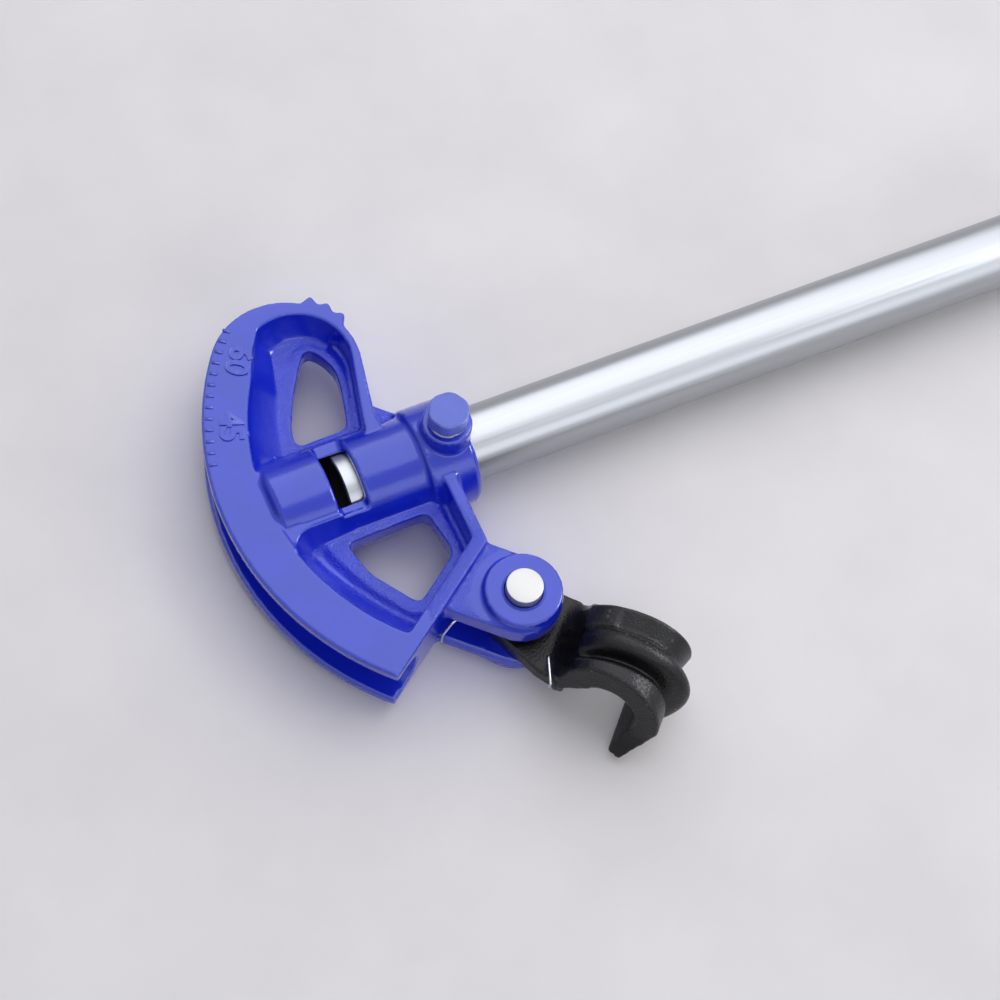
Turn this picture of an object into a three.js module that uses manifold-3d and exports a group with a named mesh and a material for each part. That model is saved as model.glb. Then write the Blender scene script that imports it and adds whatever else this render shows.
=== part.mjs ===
// Hand conduit bender: a one-piece cast shoe on a long steel handle, with a hook that swings on a pin.
// Millimetres, +Z up. The tool lies flat: +X runs along the handle from the shoe to the free end, and
// the hook pin stands along Z. Everything is built about the centre of the bend, then the whole group
// is set down with its lowest point on Z = 0 and its plan centred on the origin.
import * as THREE from 'three';
import { mergeVertices } from 'three/addons/utils/BufferGeometryUtils.js';
import Module from 'manifold-3d';

const wasm = await Module();
wasm.setup();

// Shared clearances and overruns
const clearance = 0.3;
const overrun = 20;
const rad = Math.PI / 180;

// The conduit that the tool bends, and the curve that it takes
const conduitRadius = 8.95;
const bendRadius = 101.6;

// Shoe: two flanges with a groove between them
const rimStand = 4.4;
const shoeRadius = bendRadius + rimStand;
const shoeThickness = 28.4;
const shoeHalf = shoeThickness / 2;
const grooveClearance = 0.35;
const grooveRadius = conduitRadius + grooveClearance;
const grooveFlare = 0.5;
const rimWidth = 16.2;
const rimInner = shoeRadius - rimWidth;
const tipAngle = 226.3 * rad;
const lobeAngle = 144 * rad;
const lobeRadius = 27.3;
const webThickness = 3.6;
const padThickness = 8.4;
const padSlope = 2.6;
const padCorner = 6;
const windowCorner = 3.2;

// Foot end of the shoe, with its gripping teeth
const heelAngle = -11 * rad;
const heelFootShares = [-0.4085, 0.1732];
const footRimWidth = 7.9;
const lobePocketShift = { x: 4.7, y: 1 };
const lobePocketEnd = 115 * rad;
const lobeCornerRelief = 2.3;
const lobeCornerAngle = 141 * rad;
const rimJoinAngle = 149 * rad;
const footRibWidth = 5;
const toothCount = 3;
const toothPitch = 12.8 * rad;
const toothStart = 57.5 * rad;
const toothHeight = 3.7;
const toothRoot = 1.3;
const toothCrestShare = 0.38;
const toothCrestWidthShare = 0.16;
const gussetReach = 12;
const gussetThickness = 6;

// Window and pad outlines, as shares of the bend radius
const upperWindowShares = [
  [-0.691, 0.199], [-0.684, 0.266], [-0.627, 0.389], [-0.557, 0.502], [-0.517, 0.551], [-0.477, 0.512],
  [-0.448, 0.438], [-0.456, 0.364], [-0.498, 0.203],
];
const lowerWindowShares = [
  [-0.672, -0.209], [-0.64, -0.34], [-0.527, -0.504], [-0.343, -0.374], [-0.37, -0.203],
];
const upperPadShares = [
  [-0.79, 0.12], [-0.731, 0.284], [-0.68, 0.383], [-0.596, 0.515], [-0.545, 0.566], [-0.485, 0.566],
  [-0.43, 0.49], [-0.424, 0.4], [-0.486, 0.12],
];
const lowerPadShares = [
  [-0.745, -0.12], [-0.742, -0.205], [-0.672, -0.372], [-0.553, -0.556], [-0.314, -0.4], [-0.325, -0.12],
];

// Socket that takes the handle
const handleRadius = 13.35;
const socketClearance = 0.3;
const socketBore = handleRadius + socketClearance;
const barrelWall = 4.4;
const barrelRadius = socketBore + barrelWall;
const collarStep = 2;
const collarRadius = barrelRadius + collarStep;
const collarLength = 18.8;
const collarMouthShare = -0.1476;
const collarMouthX = bendRadius * collarMouthShare;
const collarChamfer = 1.4;
const barrelEndInset = 1.2;
const barrelEndX = barrelEndInset - rimInner;
const barrelEndWall = 8;
const socketDepth = collarMouthX - barrelEndX - barrelEndWall;
const sightLength = 10.4;
const sightFromEnd = 26.4;
const sightX = barrelEndX + sightFromEnd;
const sightLedge = 10.2;

// Strut and end wall that carry the hook ears
const strutFromMouth = 9.6;
const strutX = collarMouthX - strutFromMouth;
const strutThickness = 4.7;
const strutFootShare = -0.4154;
const endWallThickness = 5.3;

// Ears
const hookReach = 40.7;
const pivotPastTip = 29;
const upperEarTop = 11.8;
const upperEarBottom = 3.4;
const upperEarRadius = 14.4;
const upperEarShift = 0.7;
const lowerEarTop = -8.7;
const lowerEarRadius = 17.6;
const upperBossHeight = 3.4;
const upperBossRadius = 13.7;
const lowerBossRadius = 17.1;
const lowerBossHeight = 3.2;

// Pivot pin and its ring
const pinRadius = 6.5;
const pinStandOut = 3.4;
const pinTail = 2.8;
const ringThickness = 1.2;
const ringWidth = 2.7;
const ringGrooveDepth = 0.9;
const ringMouth = 70 * rad;

// Clamp bolt and lock washer
const boltFromMouth = 7.3;
const boltX = collarMouthX - boltFromMouth;
const boltShankRadius = 3.97;
const boltAcrossFlats = 12.7;
const boltHeadHeight = 6.3;
const boltHeadChamfer = 1.1;
const boltTopFaceShare = 0.93;
const boltTurn = 30 * rad;
const boltBossRadius = 9;
const boltBossStand = 5.6;
const washerRadius = 6.9;
const washerThickness = 1.8;
const washerSplit = 14 * rad;

// Handle
const handleLength = 965;
const handleWall = 2.87;
const capFlange = 3;
const capOverhang = 0.7;
const capPlugLength = 22;
const capWall = 2.2;

// Hook
const hookSwing = 89 * rad;
const lugTop = -1.6;
const lugBottom = lowerEarTop + clearance;
const lugRadius = 12.8;
const lugNear = { u: 7.5, v: -16.8 };
const lugBend = { u: -26.7, v: -19.6 };
const lugFar = { u: -20.7, v: 10.6 };
const bandFar = 5.2;
const bandGap = 7.2;
const bandNear = bandGap - pivotPastTip;
const bandNearU = -18.7;
const bandSkew = 8.5 * rad;
const bandSlant = 12 * rad;
const jawForward = 0.036;
const jawForwardStart = 4;
const jawForwardDepth = 24;
const cavityRadius = 10.4;
const cavityCentre = { u: 0.5, z: -0.8 };
const bandRadius = 19.2;
const armStartU = -19.7;
const armShoulder = { u: -16.2, z: 8.5 };
const armCrown = 126 * rad;
const armUnder = 150 * rad;
const armBelly = { u: -18.2, z: -3.5 };
const jawTop = -2 * rad;
const jawBack = { u: 16, z: -8.6 };
const jawHeel = { u: 10.3, z: -16.3 };
const jawTip = { u: 5.2, z: -15.6 };
const jawLip = { u: 5.8, z: -13.2 };
const jawInner = -34 * rad;
const farBandNear = -3.4;
const farBandRise = 1.8;
const farBandShift = 0.8;
const ribHeight = 3.7;
const ribNear = -12;
const ribWidth = 8.3;
const ribEnd = -36 * rad;
const ribStart = { u: -18.2, z: 8 };

// Hook spring
const wireDiameter = 0.9;
const coilPitch = 1.4;
const coilWholeTurns = 2;
const coilMeanRadius = 8.7;
const coilSteps = 8;
const wireSides = 5;
const springTipHook = 4.4;
const anchorPast = 1.1;
const anchorFromTip = 8.1;
const anchorLevelShare = 0.45;

// Round counts
const fine = 48;
const medium = 32;
const small = 16;

const finishes = {
  paint: { color: 0x2a36c8, roughness: 0.38, metalness: 0.1 },
  zinc: { color: 0xc9ced3, roughness: 0.3, metalness: 0.9 },
  bright: { color: 0xe8e8e6, roughness: 0.22, metalness: 0.95 },
  blackCast: { color: 0x1f2024, roughness: 0.5, metalness: 0.3 },
  blackPlastic: { color: 0x1b1b1d, roughness: 0.6, metalness: 0 },
  spring: { color: 0xbfc2c4, roughness: 0.28, metalness: 0.9 },
};

// Plain helpers

function solid(geometry) {
  const bare = geometry.clone();
  bare.deleteAttribute('normal');
  bare.deleteAttribute('uv');
  const merged = mergeVertices(bare, 1e-4);
  return new wasm.Manifold(new wasm.Mesh({
    numProp: 3,
    vertProperties: new Float32Array(merged.attributes.position.array),
    triVerts: new Uint32Array(merged.index.array),
  }));
}

function piece(name, body, finish) {
  const mesh = body.getMesh();
  const geometry = new THREE.BufferGeometry();
  geometry.setAttribute('position', new THREE.BufferAttribute(new Float32Array(mesh.vertProperties), 3));
  geometry.setIndex(new THREE.BufferAttribute(new Uint32Array(mesh.triVerts), 1));
  geometry.computeVertexNormals();
  const made = new THREE.Mesh(geometry, new THREE.MeshStandardMaterial(finish));
  made.name = name;
  return made;
}

function polar(radius, angle) {
  return new THREE.Vector2(radius * Math.cos(angle), radius * Math.sin(angle));
}

function along(start, direction, distance) {
  return start.clone().addScaledVector(direction, distance);
}

// Where the line through p along d crosses the line through q along e
function meet(p, d, q, e) {
  const gap = q.clone().sub(p);
  return along(p, d, gap.cross(e) / d.cross(e));
}

function slab(shape, bottom, top, segments = small) {
  const geometry = new THREE.ExtrudeGeometry(shape, {
    depth: top - bottom, bevelEnabled: false, curveSegments: segments,
  });
  return solid(geometry.translate(0, 0, bottom));
}

function disc(radius, bottom, top, x = 0, y = 0, segments = medium) {
  const geometry = new THREE.CylinderGeometry(radius, radius, top - bottom, segments);
  geometry.rotateX(Math.PI / 2);
  return solid(geometry.translate(x, y, (top + bottom) / 2));
}

function block(low, high) {
  const size = high.clone().sub(low);
  const middle = high.clone().add(low).multiplyScalar(1 / 2);
  return solid(new THREE.BoxGeometry(size.x, size.y, size.z).translate(middle.x, middle.y, middle.z));
}

// A turned piece about the X axis, from [x, radius] pairs that start and end on the axis
function turnedX(profile, segments = fine) {
  const points = profile.map(([x, radius]) => new THREE.Vector2(radius, x));
  return solid(new THREE.LatheGeometry(points, segments).rotateZ(-Math.PI / 2).rotateX(Math.PI / 2));
}

// A turned piece about the Z axis, from [radius, z] pairs
function turnedZ(profile, segments = fine) {
  const points = profile.map(([radius, z]) => new THREE.Vector2(radius, z));
  return solid(new THREE.LatheGeometry(points, segments).rotateX(Math.PI / 2));
}

function outline(points) {
  return new THREE.Shape(points);
}

// A polygon with each corner rounded by a short curve
function roundedOutline(points, corner) {
  const shape = new THREE.Shape();
  points.forEach((point, i) => {
    const before = points[(i + points.length - 1) % points.length];
    const after = points[(i + 1) % points.length];
    const cutIn = Math.min(corner, point.distanceTo(before) / 2);
    const cutOut = Math.min(corner, point.distanceTo(after) / 2);
    const enter = along(point, before.clone().sub(point).normalize(), cutIn);
    const leave = along(point, after.clone().sub(point).normalize(), cutOut);
    if (i === 0) {
      shape.moveTo(enter.x, enter.y);
    } else {
      shape.lineTo(enter.x, enter.y);
    }
    shape.quadraticCurveTo(point.x, point.y, leave.x, leave.y);
  });
  shape.closePath();
  return shape;
}

function fromShares(shares) {
  return shares.map(([x, y]) => new THREE.Vector2(x, y).multiplyScalar(bendRadius));
}

function joined(bodies) {
  return bodies.reduce((whole, body) => whole.add(body));
}

// Directions and places that several pieces share

const outwardAtTip = polar(1, tipAngle);
const alongAtTip = polar(1, tipAngle + Math.PI / 2);
const tip = polar(shoeRadius, tipAngle);
const strutFoot = new THREE.Vector2(strutX, bendRadius * strutFootShare);
const wallLine = strutFoot.clone().sub(tip).normalize();
const wallInward = new THREE.Vector2(-wallLine.y, wallLine.x);
const pivotOut = outwardAtTip.clone().multiplyScalar(bendRadius - hookReach);
const pivot = along(pivotOut, alongAtTip, pivotPastTip);
const lobeCentre = polar(shoeRadius - lobeRadius, lobeAngle);
const heelFoot = new THREE.Vector2(...heelFootShares).multiplyScalar(bendRadius);
const upperBossTop = upperEarTop + upperBossHeight;
const lowerEarBottom = -shoeHalf;
const lowerBossBottom = lowerEarBottom - lowerBossHeight;
const handleStartX = sightX;
const handleEndX = handleStartX + handleLength;
const boltBossTop = collarRadius + boltBossStand;
const boltShankBottom = handleRadius + clearance;
const washerBottom = boltBossTop + clearance;
const boltHeadBottom = washerBottom + washerThickness + clearance;

// Cast head

function shoeOutline() {
  const shape = new THREE.Shape();
  const heel = along(lobeCentre, polar(1, heelAngle), lobeRadius);
  shape.moveTo(tip.x, tip.y);
  shape.absarc(0, 0, shoeRadius, tipAngle, lobeAngle, true);
  shape.absarc(lobeCentre.x, lobeCentre.y, lobeRadius, lobeAngle, toothStart, true);
  for (let i = 0; i < toothCount; i += 1) {
    const start = toothStart - i * toothPitch;
    const root = i === toothCount - 1 ? 0 : toothRoot;
    const crest = start - toothPitch * toothCrestShare;
    const crestEnd = crest - toothPitch * toothCrestWidthShare;
    const rise = [[crest, toothHeight], [crestEnd, toothHeight], [start - toothPitch, root]];
    rise.forEach(([angle, height]) => {
      const point = along(lobeCentre, polar(1, angle), lobeRadius + height);
      shape.lineTo(point.x, point.y);
    });
  }
  shape.absarc(lobeCentre.x, lobeCentre.y, lobeRadius, toothStart - toothCount * toothPitch, heelAngle, true);
  shape.lineTo(heel.x, heel.y);
  shape.lineTo(heelFoot.x, heelFoot.y);
  shape.lineTo(heelFoot.x, 0);
  shape.lineTo(strutX, 0);
  shape.lineTo(strutFoot.x, strutFoot.y);
  shape.closePath();
  return shape;
}

// The hollow side of the shoe, as it is cut from one face down to the web
function pocket(bottom, top) {
  const heelIn = along(lobeCentre, polar(1, heelAngle), lobeRadius - footRibWidth);
  const footIn = new THREE.Vector2(heelFoot.x - footRibWidth, heelFoot.y);
  const footLine = heelIn.clone().sub(footIn).normalize();
  const footLow = along(footIn, footLine, -2 * footIn.y);
  const upper = new THREE.Shape();
  upper.moveTo(-rimInner, 0);
  upper.lineTo(footLow.x, footLow.y);
  upper.lineTo(footIn.x, footIn.y);
  const lobeIn = lobeCentre.clone().add(lobePocketShift);
  upper.absarc(lobeIn.x, lobeIn.y, lobeRadius - footRimWidth, heelAngle, lobePocketEnd, false);
  const lobeCorner = polar(rimInner + lobeCornerRelief, lobeCornerAngle);
  upper.lineTo(lobeCorner.x, lobeCorner.y);
  upper.absarc(0, 0, rimInner, rimJoinAngle, Math.PI, false);
  upper.closePath();
  const wallIn = along(tip, wallInward, endWallThickness);
  const strutIn = new THREE.Vector2(strutX - strutThickness, 0);
  const corner = meet(wallIn, wallLine, strutIn, new THREE.Vector2(0, 1));
  const outside = along(wallIn, wallLine, -shoeRadius);
  const lower = outline([
    new THREE.Vector2(-shoeRadius, 0), outside, corner, strutIn, new THREE.Vector2(strutIn.x, footIn.y / 2),
    new THREE.Vector2(-shoeRadius, footIn.y / 2),
  ]);
  const reach = disc(rimInner, bottom, top, 0, 0, fine * 2);
  return slab(upper, bottom, top).add(slab(lower, bottom, top).intersect(reach));
}

// A raised pad on both sides of the web, with sloping sides
function pad(corners) {
  return solid(new THREE.ExtrudeGeometry(roundedOutline(corners, padCorner), {
    depth: webThickness,
    curveSegments: small / 2,
    bevelEnabled: true,
    bevelSegments: 1,
    bevelThickness: (padThickness - webThickness) / 2,
    bevelSize: padSlope,
  }).translate(0, 0, -webThickness / 2));
}

function groove() {
  const profile = [];
  const steps = small / 2;
  for (let i = 0; i <= steps; i += 1) {
    const angle = Math.PI / 2 + Math.PI * i / steps;
    profile.push([bendRadius + grooveRadius * Math.cos(angle), grooveRadius * Math.sin(angle)]);
  }
  profile.push([shoeRadius + overrun, -grooveRadius - grooveFlare]);
  profile.push([shoeRadius + overrun, grooveRadius + grooveFlare]);
  profile.push(profile[0]);
  return turnedZ(profile, fine * 2);
}

function ear(radius, shift, bottom, top) {
  const backPoint = along(tip, wallInward, endWallThickness / 2);
  const centre = along(pivot, outwardAtTip, shift);
  const nearSide = along(centre, outwardAtTip, radius);
  const farSide = along(centre, outwardAtTip, -radius);
  const nearBack = meet(nearSide, alongAtTip, backPoint, wallLine);
  const farBack = meet(farSide, alongAtTip, backPoint, wallLine);
  const shape = new THREE.Shape();
  shape.moveTo(nearBack.x, nearBack.y);
  shape.lineTo(nearSide.x, nearSide.y);
  shape.absarc(centre.x, centre.y, radius, tipAngle, tipAngle + Math.PI, false);
  shape.lineTo(farBack.x, farBack.y);
  shape.closePath();
  return slab(shape, bottom, top);
}

function benderHead() {
  const plate = slab(shoeOutline(), -shoeHalf, shoeHalf, fine)
    .subtract(pocket(webThickness / 2, shoeHalf + overrun))
    .subtract(pocket(-shoeHalf - overrun, -webThickness / 2));
  const windows = [upperWindowShares, lowerWindowShares].map(fromShares);
  const pads = [upperPadShares, lowerPadShares].map((shares) => pad(fromShares(shares)));
  const gusset = slab(outline([
    new THREE.Vector2(heelFoot.x, heelFoot.y + gussetReach),
    new THREE.Vector2(heelFoot.x, 0),
    new THREE.Vector2(heelFoot.x + gussetReach, 0),
    new THREE.Vector2(heelFoot.x + gussetReach, barrelRadius),
  ]), -gussetThickness / 2, gussetThickness / 2);
  const stepX = collarMouthX - collarLength;
  const socket = turnedX([
    [barrelEndX, 0], [barrelEndX, barrelRadius - collarChamfer], [barrelEndX + collarChamfer, barrelRadius],
    [stepX, barrelRadius], [stepX + collarChamfer / 2, collarRadius],
    [collarMouthX - collarChamfer, collarRadius], [collarMouthX, collarRadius - collarChamfer],
    [collarMouthX, 0],
  ]);
  const boltBoss = disc(boltBossRadius, 0, boltBossTop, boltX, 0, medium);
  const ears = [
    ear(upperEarRadius, upperEarShift, upperEarBottom, upperEarTop),
    disc(upperBossRadius, upperEarBottom, upperBossTop, pivot.x, pivot.y),
    ear(lowerEarRadius, 0, lowerEarBottom, lowerEarTop),
    disc(lowerBossRadius, lowerBossBottom, lowerEarTop, pivot.x, pivot.y),
  ];
  const body = joined([plate, ...pads, gusset, socket, boltBoss, ...ears]);
  const bore = turnedX([
    [collarMouthX - socketDepth, 0], [collarMouthX - socketDepth, socketBore],
    [collarMouthX + overrun, socketBore], [collarMouthX + overrun, 0],
  ]);
  const cuts = [
    ...windows.map((corners) => slab(roundedOutline(corners, windowCorner), -shoeHalf, shoeHalf)),
    groove(),
    bore,
    block(
      new THREE.Vector3(sightX - sightLength / 2, -collarRadius, sightLedge),
      new THREE.Vector3(sightX + sightLength / 2, collarRadius, collarRadius + overrun),
    ),
    disc(boltShankRadius + clearance, 0, boltBossTop + overrun, boltX, 0, small),
    disc(pinRadius + clearance, lowerBossBottom - overrun, upperBossTop + overrun, pivot.x, pivot.y),
  ];
  return piece('bender_head', body.subtract(joined(cuts)), finishes.paint);
}

// Handle

function handleTube() {
  const inner = handleRadius - handleWall;
  const tube = turnedX([
    [handleStartX, inner], [handleStartX, handleRadius], [handleEndX, handleRadius],
    [handleEndX, inner], [handleStartX, inner],
  ], medium);
  return piece('handle_tube', tube, finishes.zinc);
}

function handleEndCap() {
  const plug = handleRadius - handleWall - clearance;
  const seat = handleEndX + clearance;
  const cap = turnedX([
    [seat + capFlange, 0], [seat + capFlange, handleRadius],
    [seat + capFlange - capOverhang, handleRadius + capOverhang],
    [seat, handleRadius + capOverhang], [seat, plug], [seat - capPlugLength, plug],
    [seat - capPlugLength, plug - capWall], [seat, plug - capWall], [seat, 0],
  ].reverse(), medium);
  return piece('handle_end_cap', cap, finishes.blackPlastic);
}

// Clamp bolt with its split lock washer

function clampBolt() {
  const corner = boltAcrossFlats / 2 / Math.cos(Math.PI / 6);
  const top = boltHeadBottom + boltHeadHeight;
  const face = boltAcrossFlats / 2 * boltTopFaceShare;
  const prism = disc(corner, boltHeadBottom, top, 0, 0, 6);
  const round = turnedZ([
    [0, boltHeadBottom], [corner, boltHeadBottom], [corner, top - boltHeadChamfer], [face, top], [0, top],
  ], medium);
  const shank = disc(boltShankRadius, boltShankBottom, boltHeadBottom + clearance, 0, 0, small);
  const bolt = piece('clamp_bolt', prism.intersect(round).add(shank), finishes.paint);
  bolt.position.set(boltX, 0, 0);
  bolt.rotation.z = boltTurn;
  return bolt;
}

function clampWasher() {
  const inner = boltShankRadius + clearance;
  const shape = new THREE.Shape();
  shape.absarc(0, 0, washerRadius, washerSplit / 2, 2 * Math.PI - washerSplit / 2, false);
  shape.absarc(0, 0, inner, 2 * Math.PI - washerSplit / 2, washerSplit / 2, true);
  shape.closePath();
  const ring = slab(shape, washerBottom, washerBottom + washerThickness, medium);
  const washer = piece('clamp_lock_washer', ring, finishes.bright);
  washer.position.set(boltX, 0, 0);
  return washer;
}

// Pivot pin and the ring that keeps it in

function pivotPin() {
  const grooveTop = lowerBossBottom;
  const grooveBottom = grooveTop - ringThickness - 2 * clearance;
  const bottom = lowerBossBottom - pinTail;
  const top = upperBossTop + pinStandOut;
  const waist = pinRadius - ringGrooveDepth;
  const pin = turnedZ([
    [0, bottom], [pinRadius - clearance, bottom], [pinRadius, bottom + clearance], [pinRadius, grooveBottom],
    [waist, grooveBottom], [waist, grooveTop], [pinRadius, grooveTop], [pinRadius, top - clearance],
    [pinRadius - clearance, top], [0, top],
  ], medium);
  const made = piece('pivot_pin', pin, finishes.bright);
  made.position.set(pivot.x, pivot.y, 0);
  return made;
}

function pinRing() {
  const inner = pinRadius - ringGrooveDepth + clearance;
  const outer = inner + ringWidth;
  const shape = new THREE.Shape();
  shape.absarc(0, 0, outer, ringMouth / 2, 2 * Math.PI - ringMouth / 2, false);
  shape.absarc(0, 0, inner, 2 * Math.PI - ringMouth / 2, ringMouth / 2, true);
  shape.closePath();
  const top = lowerBossBottom - clearance;
  const ring = piece('pin_retaining_ring', slab(shape, top - ringThickness, top, medium), finishes.spring);
  ring.position.set(pivot.x, pivot.y, 0);
  return ring;
}

// Hook, in its own frame: u runs across from the conduit's axis, away from the pin, and v along it

function band(shape, near, far) {
  const geometry = new THREE.ExtrudeGeometry(shape, {
    depth: far - near, bevelEnabled: false, curveSegments: small,
  });
  return solid(geometry.rotateX(Math.PI / 2).translate(hookReach, far, 0));
}

// Everything on the near side of the hook's slanting, slightly curved near face
function nearSide() {
  const size = bandRadius * 6;
  const shape = new THREE.Shape();
  shape.moveTo(-size, size);
  shape.lineTo(size * Math.tan(bandSlant), size);
  for (let i = 0; i <= small / 2; i += 1) {
    const z = -jawForwardDepth * i / (small / 2);
    const drop = Math.max(0, -z - jawForwardStart);
    shape.lineTo(z * Math.tan(bandSlant) - jawForward * drop * drop, z);
  }
  shape.lineTo(-size, -jawForwardDepth);
  shape.closePath();
  const geometry = new THREE.ExtrudeGeometry(shape, { depth: size, bevelEnabled: false });
  geometry.applyMatrix4(new THREE.Matrix4().makeBasis(
    new THREE.Vector3(0, 1, 0), new THREE.Vector3(0, 0, 1), new THREE.Vector3(1, 0, 0),
  ));
  geometry.translate(-size / 2, 0, 0).rotateZ(-bandSkew).translate(hookReach + bandNearU, bandNear, 0);
  return solid(geometry);
}

// The curled band, cut through along the conduit
function bandProfile(centreU, radius) {
  const profile = new THREE.Shape();
  profile.moveTo(armStartU, lugBottom);
  profile.lineTo(armStartU, lugTop);
  profile.lineTo(armShoulder.u, armShoulder.z);
  profile.absarc(centreU, 0, radius, armCrown, jawTop, true);
  profile.lineTo(jawBack.u + radius - bandRadius, jawBack.z);
  profile.lineTo(jawHeel.u, jawHeel.z);
  profile.lineTo(jawTip.u, jawTip.z);
  profile.lineTo(jawLip.u, jawLip.z);
  profile.absarc(cavityCentre.u, cavityCentre.z, cavityRadius, jawInner, armUnder, false);
  profile.lineTo(armBelly.u, armBelly.z);
  profile.closePath();
  return profile;
}

function hookBody() {
  const lugShape = new THREE.Shape();
  const lugEnter = 65 * rad;
  const lugLeave = 255 * rad;
  lugShape.moveTo(hookReach + armShoulder.u, bandNear);
  lugShape.lineTo(hookReach + armShoulder.u, bandFar);
  lugShape.lineTo(hookReach + lugFar.u, lugFar.v);
  lugShape.absarc(0, 0, lugRadius, lugEnter, lugLeave, false);
  lugShape.lineTo(lugNear.u, lugNear.v);
  lugShape.lineTo(hookReach + lugBend.u, lugBend.v);
  lugShape.closePath();
  const lug = slab(lugShape, lugBottom, lugTop);

  const rib = new THREE.Shape();
  rib.moveTo(armStartU, lugBottom + clearance);
  rib.lineTo(armStartU, lugTop);
  rib.lineTo(ribStart.u, ribStart.z);
  rib.absarc(0, 0, bandRadius + ribHeight, armCrown, ribEnd, true);
  rib.absarc(0, 0, (cavityRadius + bandRadius) / 2, ribEnd, armUnder, false);
  rib.closePath();

  const whole = joined([
    lug,
    band(bandProfile(0, bandRadius), bandNear - overrun, bandFar),
    band(bandProfile(farBandShift, bandRadius + farBandRise), farBandNear, bandFar),
    band(rib, ribNear, ribNear + ribWidth),
  ]);
  return whole
    .subtract(nearSide())
    .subtract(disc(pinRadius + clearance, lugBottom - overrun, lugTop + overrun));
}

function hook() {
  const made = piece('hook', hookBody(), finishes.blackCast);
  made.position.set(pivot.x, pivot.y, 0);
  made.rotation.z = tipAngle + hookSwing;
  return made;
}

// Hook spring: a short coil round the pin, one leg on the lower ear and one over the hook's edge

// The angle at which a straight leg that ends at a point leaves the coil
function tangentAngle(point, radius, side) {
  return Math.atan2(point.y, point.x) + side * Math.acos(radius / point.length());
}

function springPath() {
  const wire = wireDiameter / 2;
  const legU = hookReach + armStartU - clearance - wireDiameter;
  const legV = bandNear - clearance - wire;
  const legEnd = new THREE.Vector2(legU, legV).rotateAround(new THREE.Vector2(0, 0), tipAngle + hookSwing);
  const anchorOut = outwardAtTip.clone().multiplyScalar(lowerEarRadius + anchorPast);
  const anchor = along(anchorOut, alongAtTip, anchorFromTip - pivotPastTip);
  const lowZ = lugTop + clearance + wire;
  const fullTurn = Math.PI * 2;
  const startAngle = tangentAngle(legEnd, coilMeanRadius, 1);
  const endAngle = tangentAngle(anchor, coilMeanRadius, -1);
  const partTurn = ((endAngle - startAngle) % fullTurn + fullTurn) % fullTurn;
  const swept = coilWholeTurns * fullTurn + partTurn;
  const steps = Math.round(swept / fullTurn * coilSteps);
  const points = [
    new THREE.Vector3(legEnd.x, legEnd.y, lowZ - springTipHook),
    new THREE.Vector3(legEnd.x, legEnd.y, lowZ - wireDiameter),
    new THREE.Vector3(legEnd.x, legEnd.y, lowZ).lerp(new THREE.Vector3(0, 0, lowZ), wire / legEnd.length()),
  ];
  for (let i = 0; i <= steps; i += 1) {
    const turned = swept * i / steps;
    const spot = polar(coilMeanRadius, startAngle + turned);
    points.push(new THREE.Vector3(spot.x, spot.y, lowZ + coilPitch * turned / fullTurn));
  }
  const last = points[points.length - 1];
  points.push(last.clone().lerp(new THREE.Vector3(anchor.x, anchor.y, last.z), anchorLevelShare));
  points.push(new THREE.Vector3(anchor.x, anchor.y, (lowerEarTop + lowZ) / 2));
  points.push(new THREE.Vector3(anchor.x, anchor.y, lowerEarTop - springTipHook / 2));
  return points;
}

function leastGap(points, wire) {
  let least = Infinity;
  const curve = new THREE.CatmullRomCurve3(points, false, 'centripetal');
  const samples = curve.getSpacedPoints(points.length * coilSteps);
  const step = samples[0].distanceTo(samples[1]);
  const apart = Math.ceil(wire * 5 / step);
  for (let i = 0; i < samples.length; i += 1) {
    for (let j = i + apart; j < samples.length; j += 1) {
      least = Math.min(least, samples[i].distanceTo(samples[j]) - wire);
    }
  }
  return least;
}

function hookSpring() {
  const points = springPath();
  const section = new THREE.Shape();
  for (let i = 0; i < wireSides; i += 1) {
    const spot = polar(wireDiameter / 2, Math.PI * 2 * i / wireSides);
    if (i === 0) {
      section.moveTo(spot.x, spot.y);
    } else {
      section.lineTo(spot.x, spot.y);
    }
  }
  section.closePath();
  const wire = solid(new THREE.ExtrudeGeometry(section, {
    steps: points.length * 3,
    bevelEnabled: false,
    extrudePath: new THREE.CatmullRomCurve3(points, false, 'centripetal'),
  }));
  console.log(`hook spring: least gap to itself ${leastGap(points, wireDiameter).toFixed(2)} mm`);
  const made = piece('hook_spring', wire, finishes.spring);
  made.position.set(pivot.x, pivot.y, 0);
  return made;
}

const conduitBender = new THREE.Group();
conduitBender.add(
  benderHead(), handleTube(), handleEndCap(), clampBolt(), clampWasher(),
  pivotPin(), pinRing(), hook(), hookSpring(),
);
const extent = new THREE.Box3().setFromObject(conduitBender);
const middle = extent.getCenter(new THREE.Vector3());
conduitBender.position.set(-middle.x, -middle.y, -extent.min.z);

export default conduitBender;
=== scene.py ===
# %% [markdown]
# A hand conduit bender lies on a pale floor: a blue cast shoe with a groove round its rim, a
# bright tube handle clamped in its socket, and a black cast hook on a pin beside the shoe's tip.
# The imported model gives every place. Each step below takes one piece or one finish, says what it
# is on the real tool, and makes it round that model.

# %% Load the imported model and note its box
import math

import bmesh
import bpy
import numpy as np
from mathutils import Matrix, Vector


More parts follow.
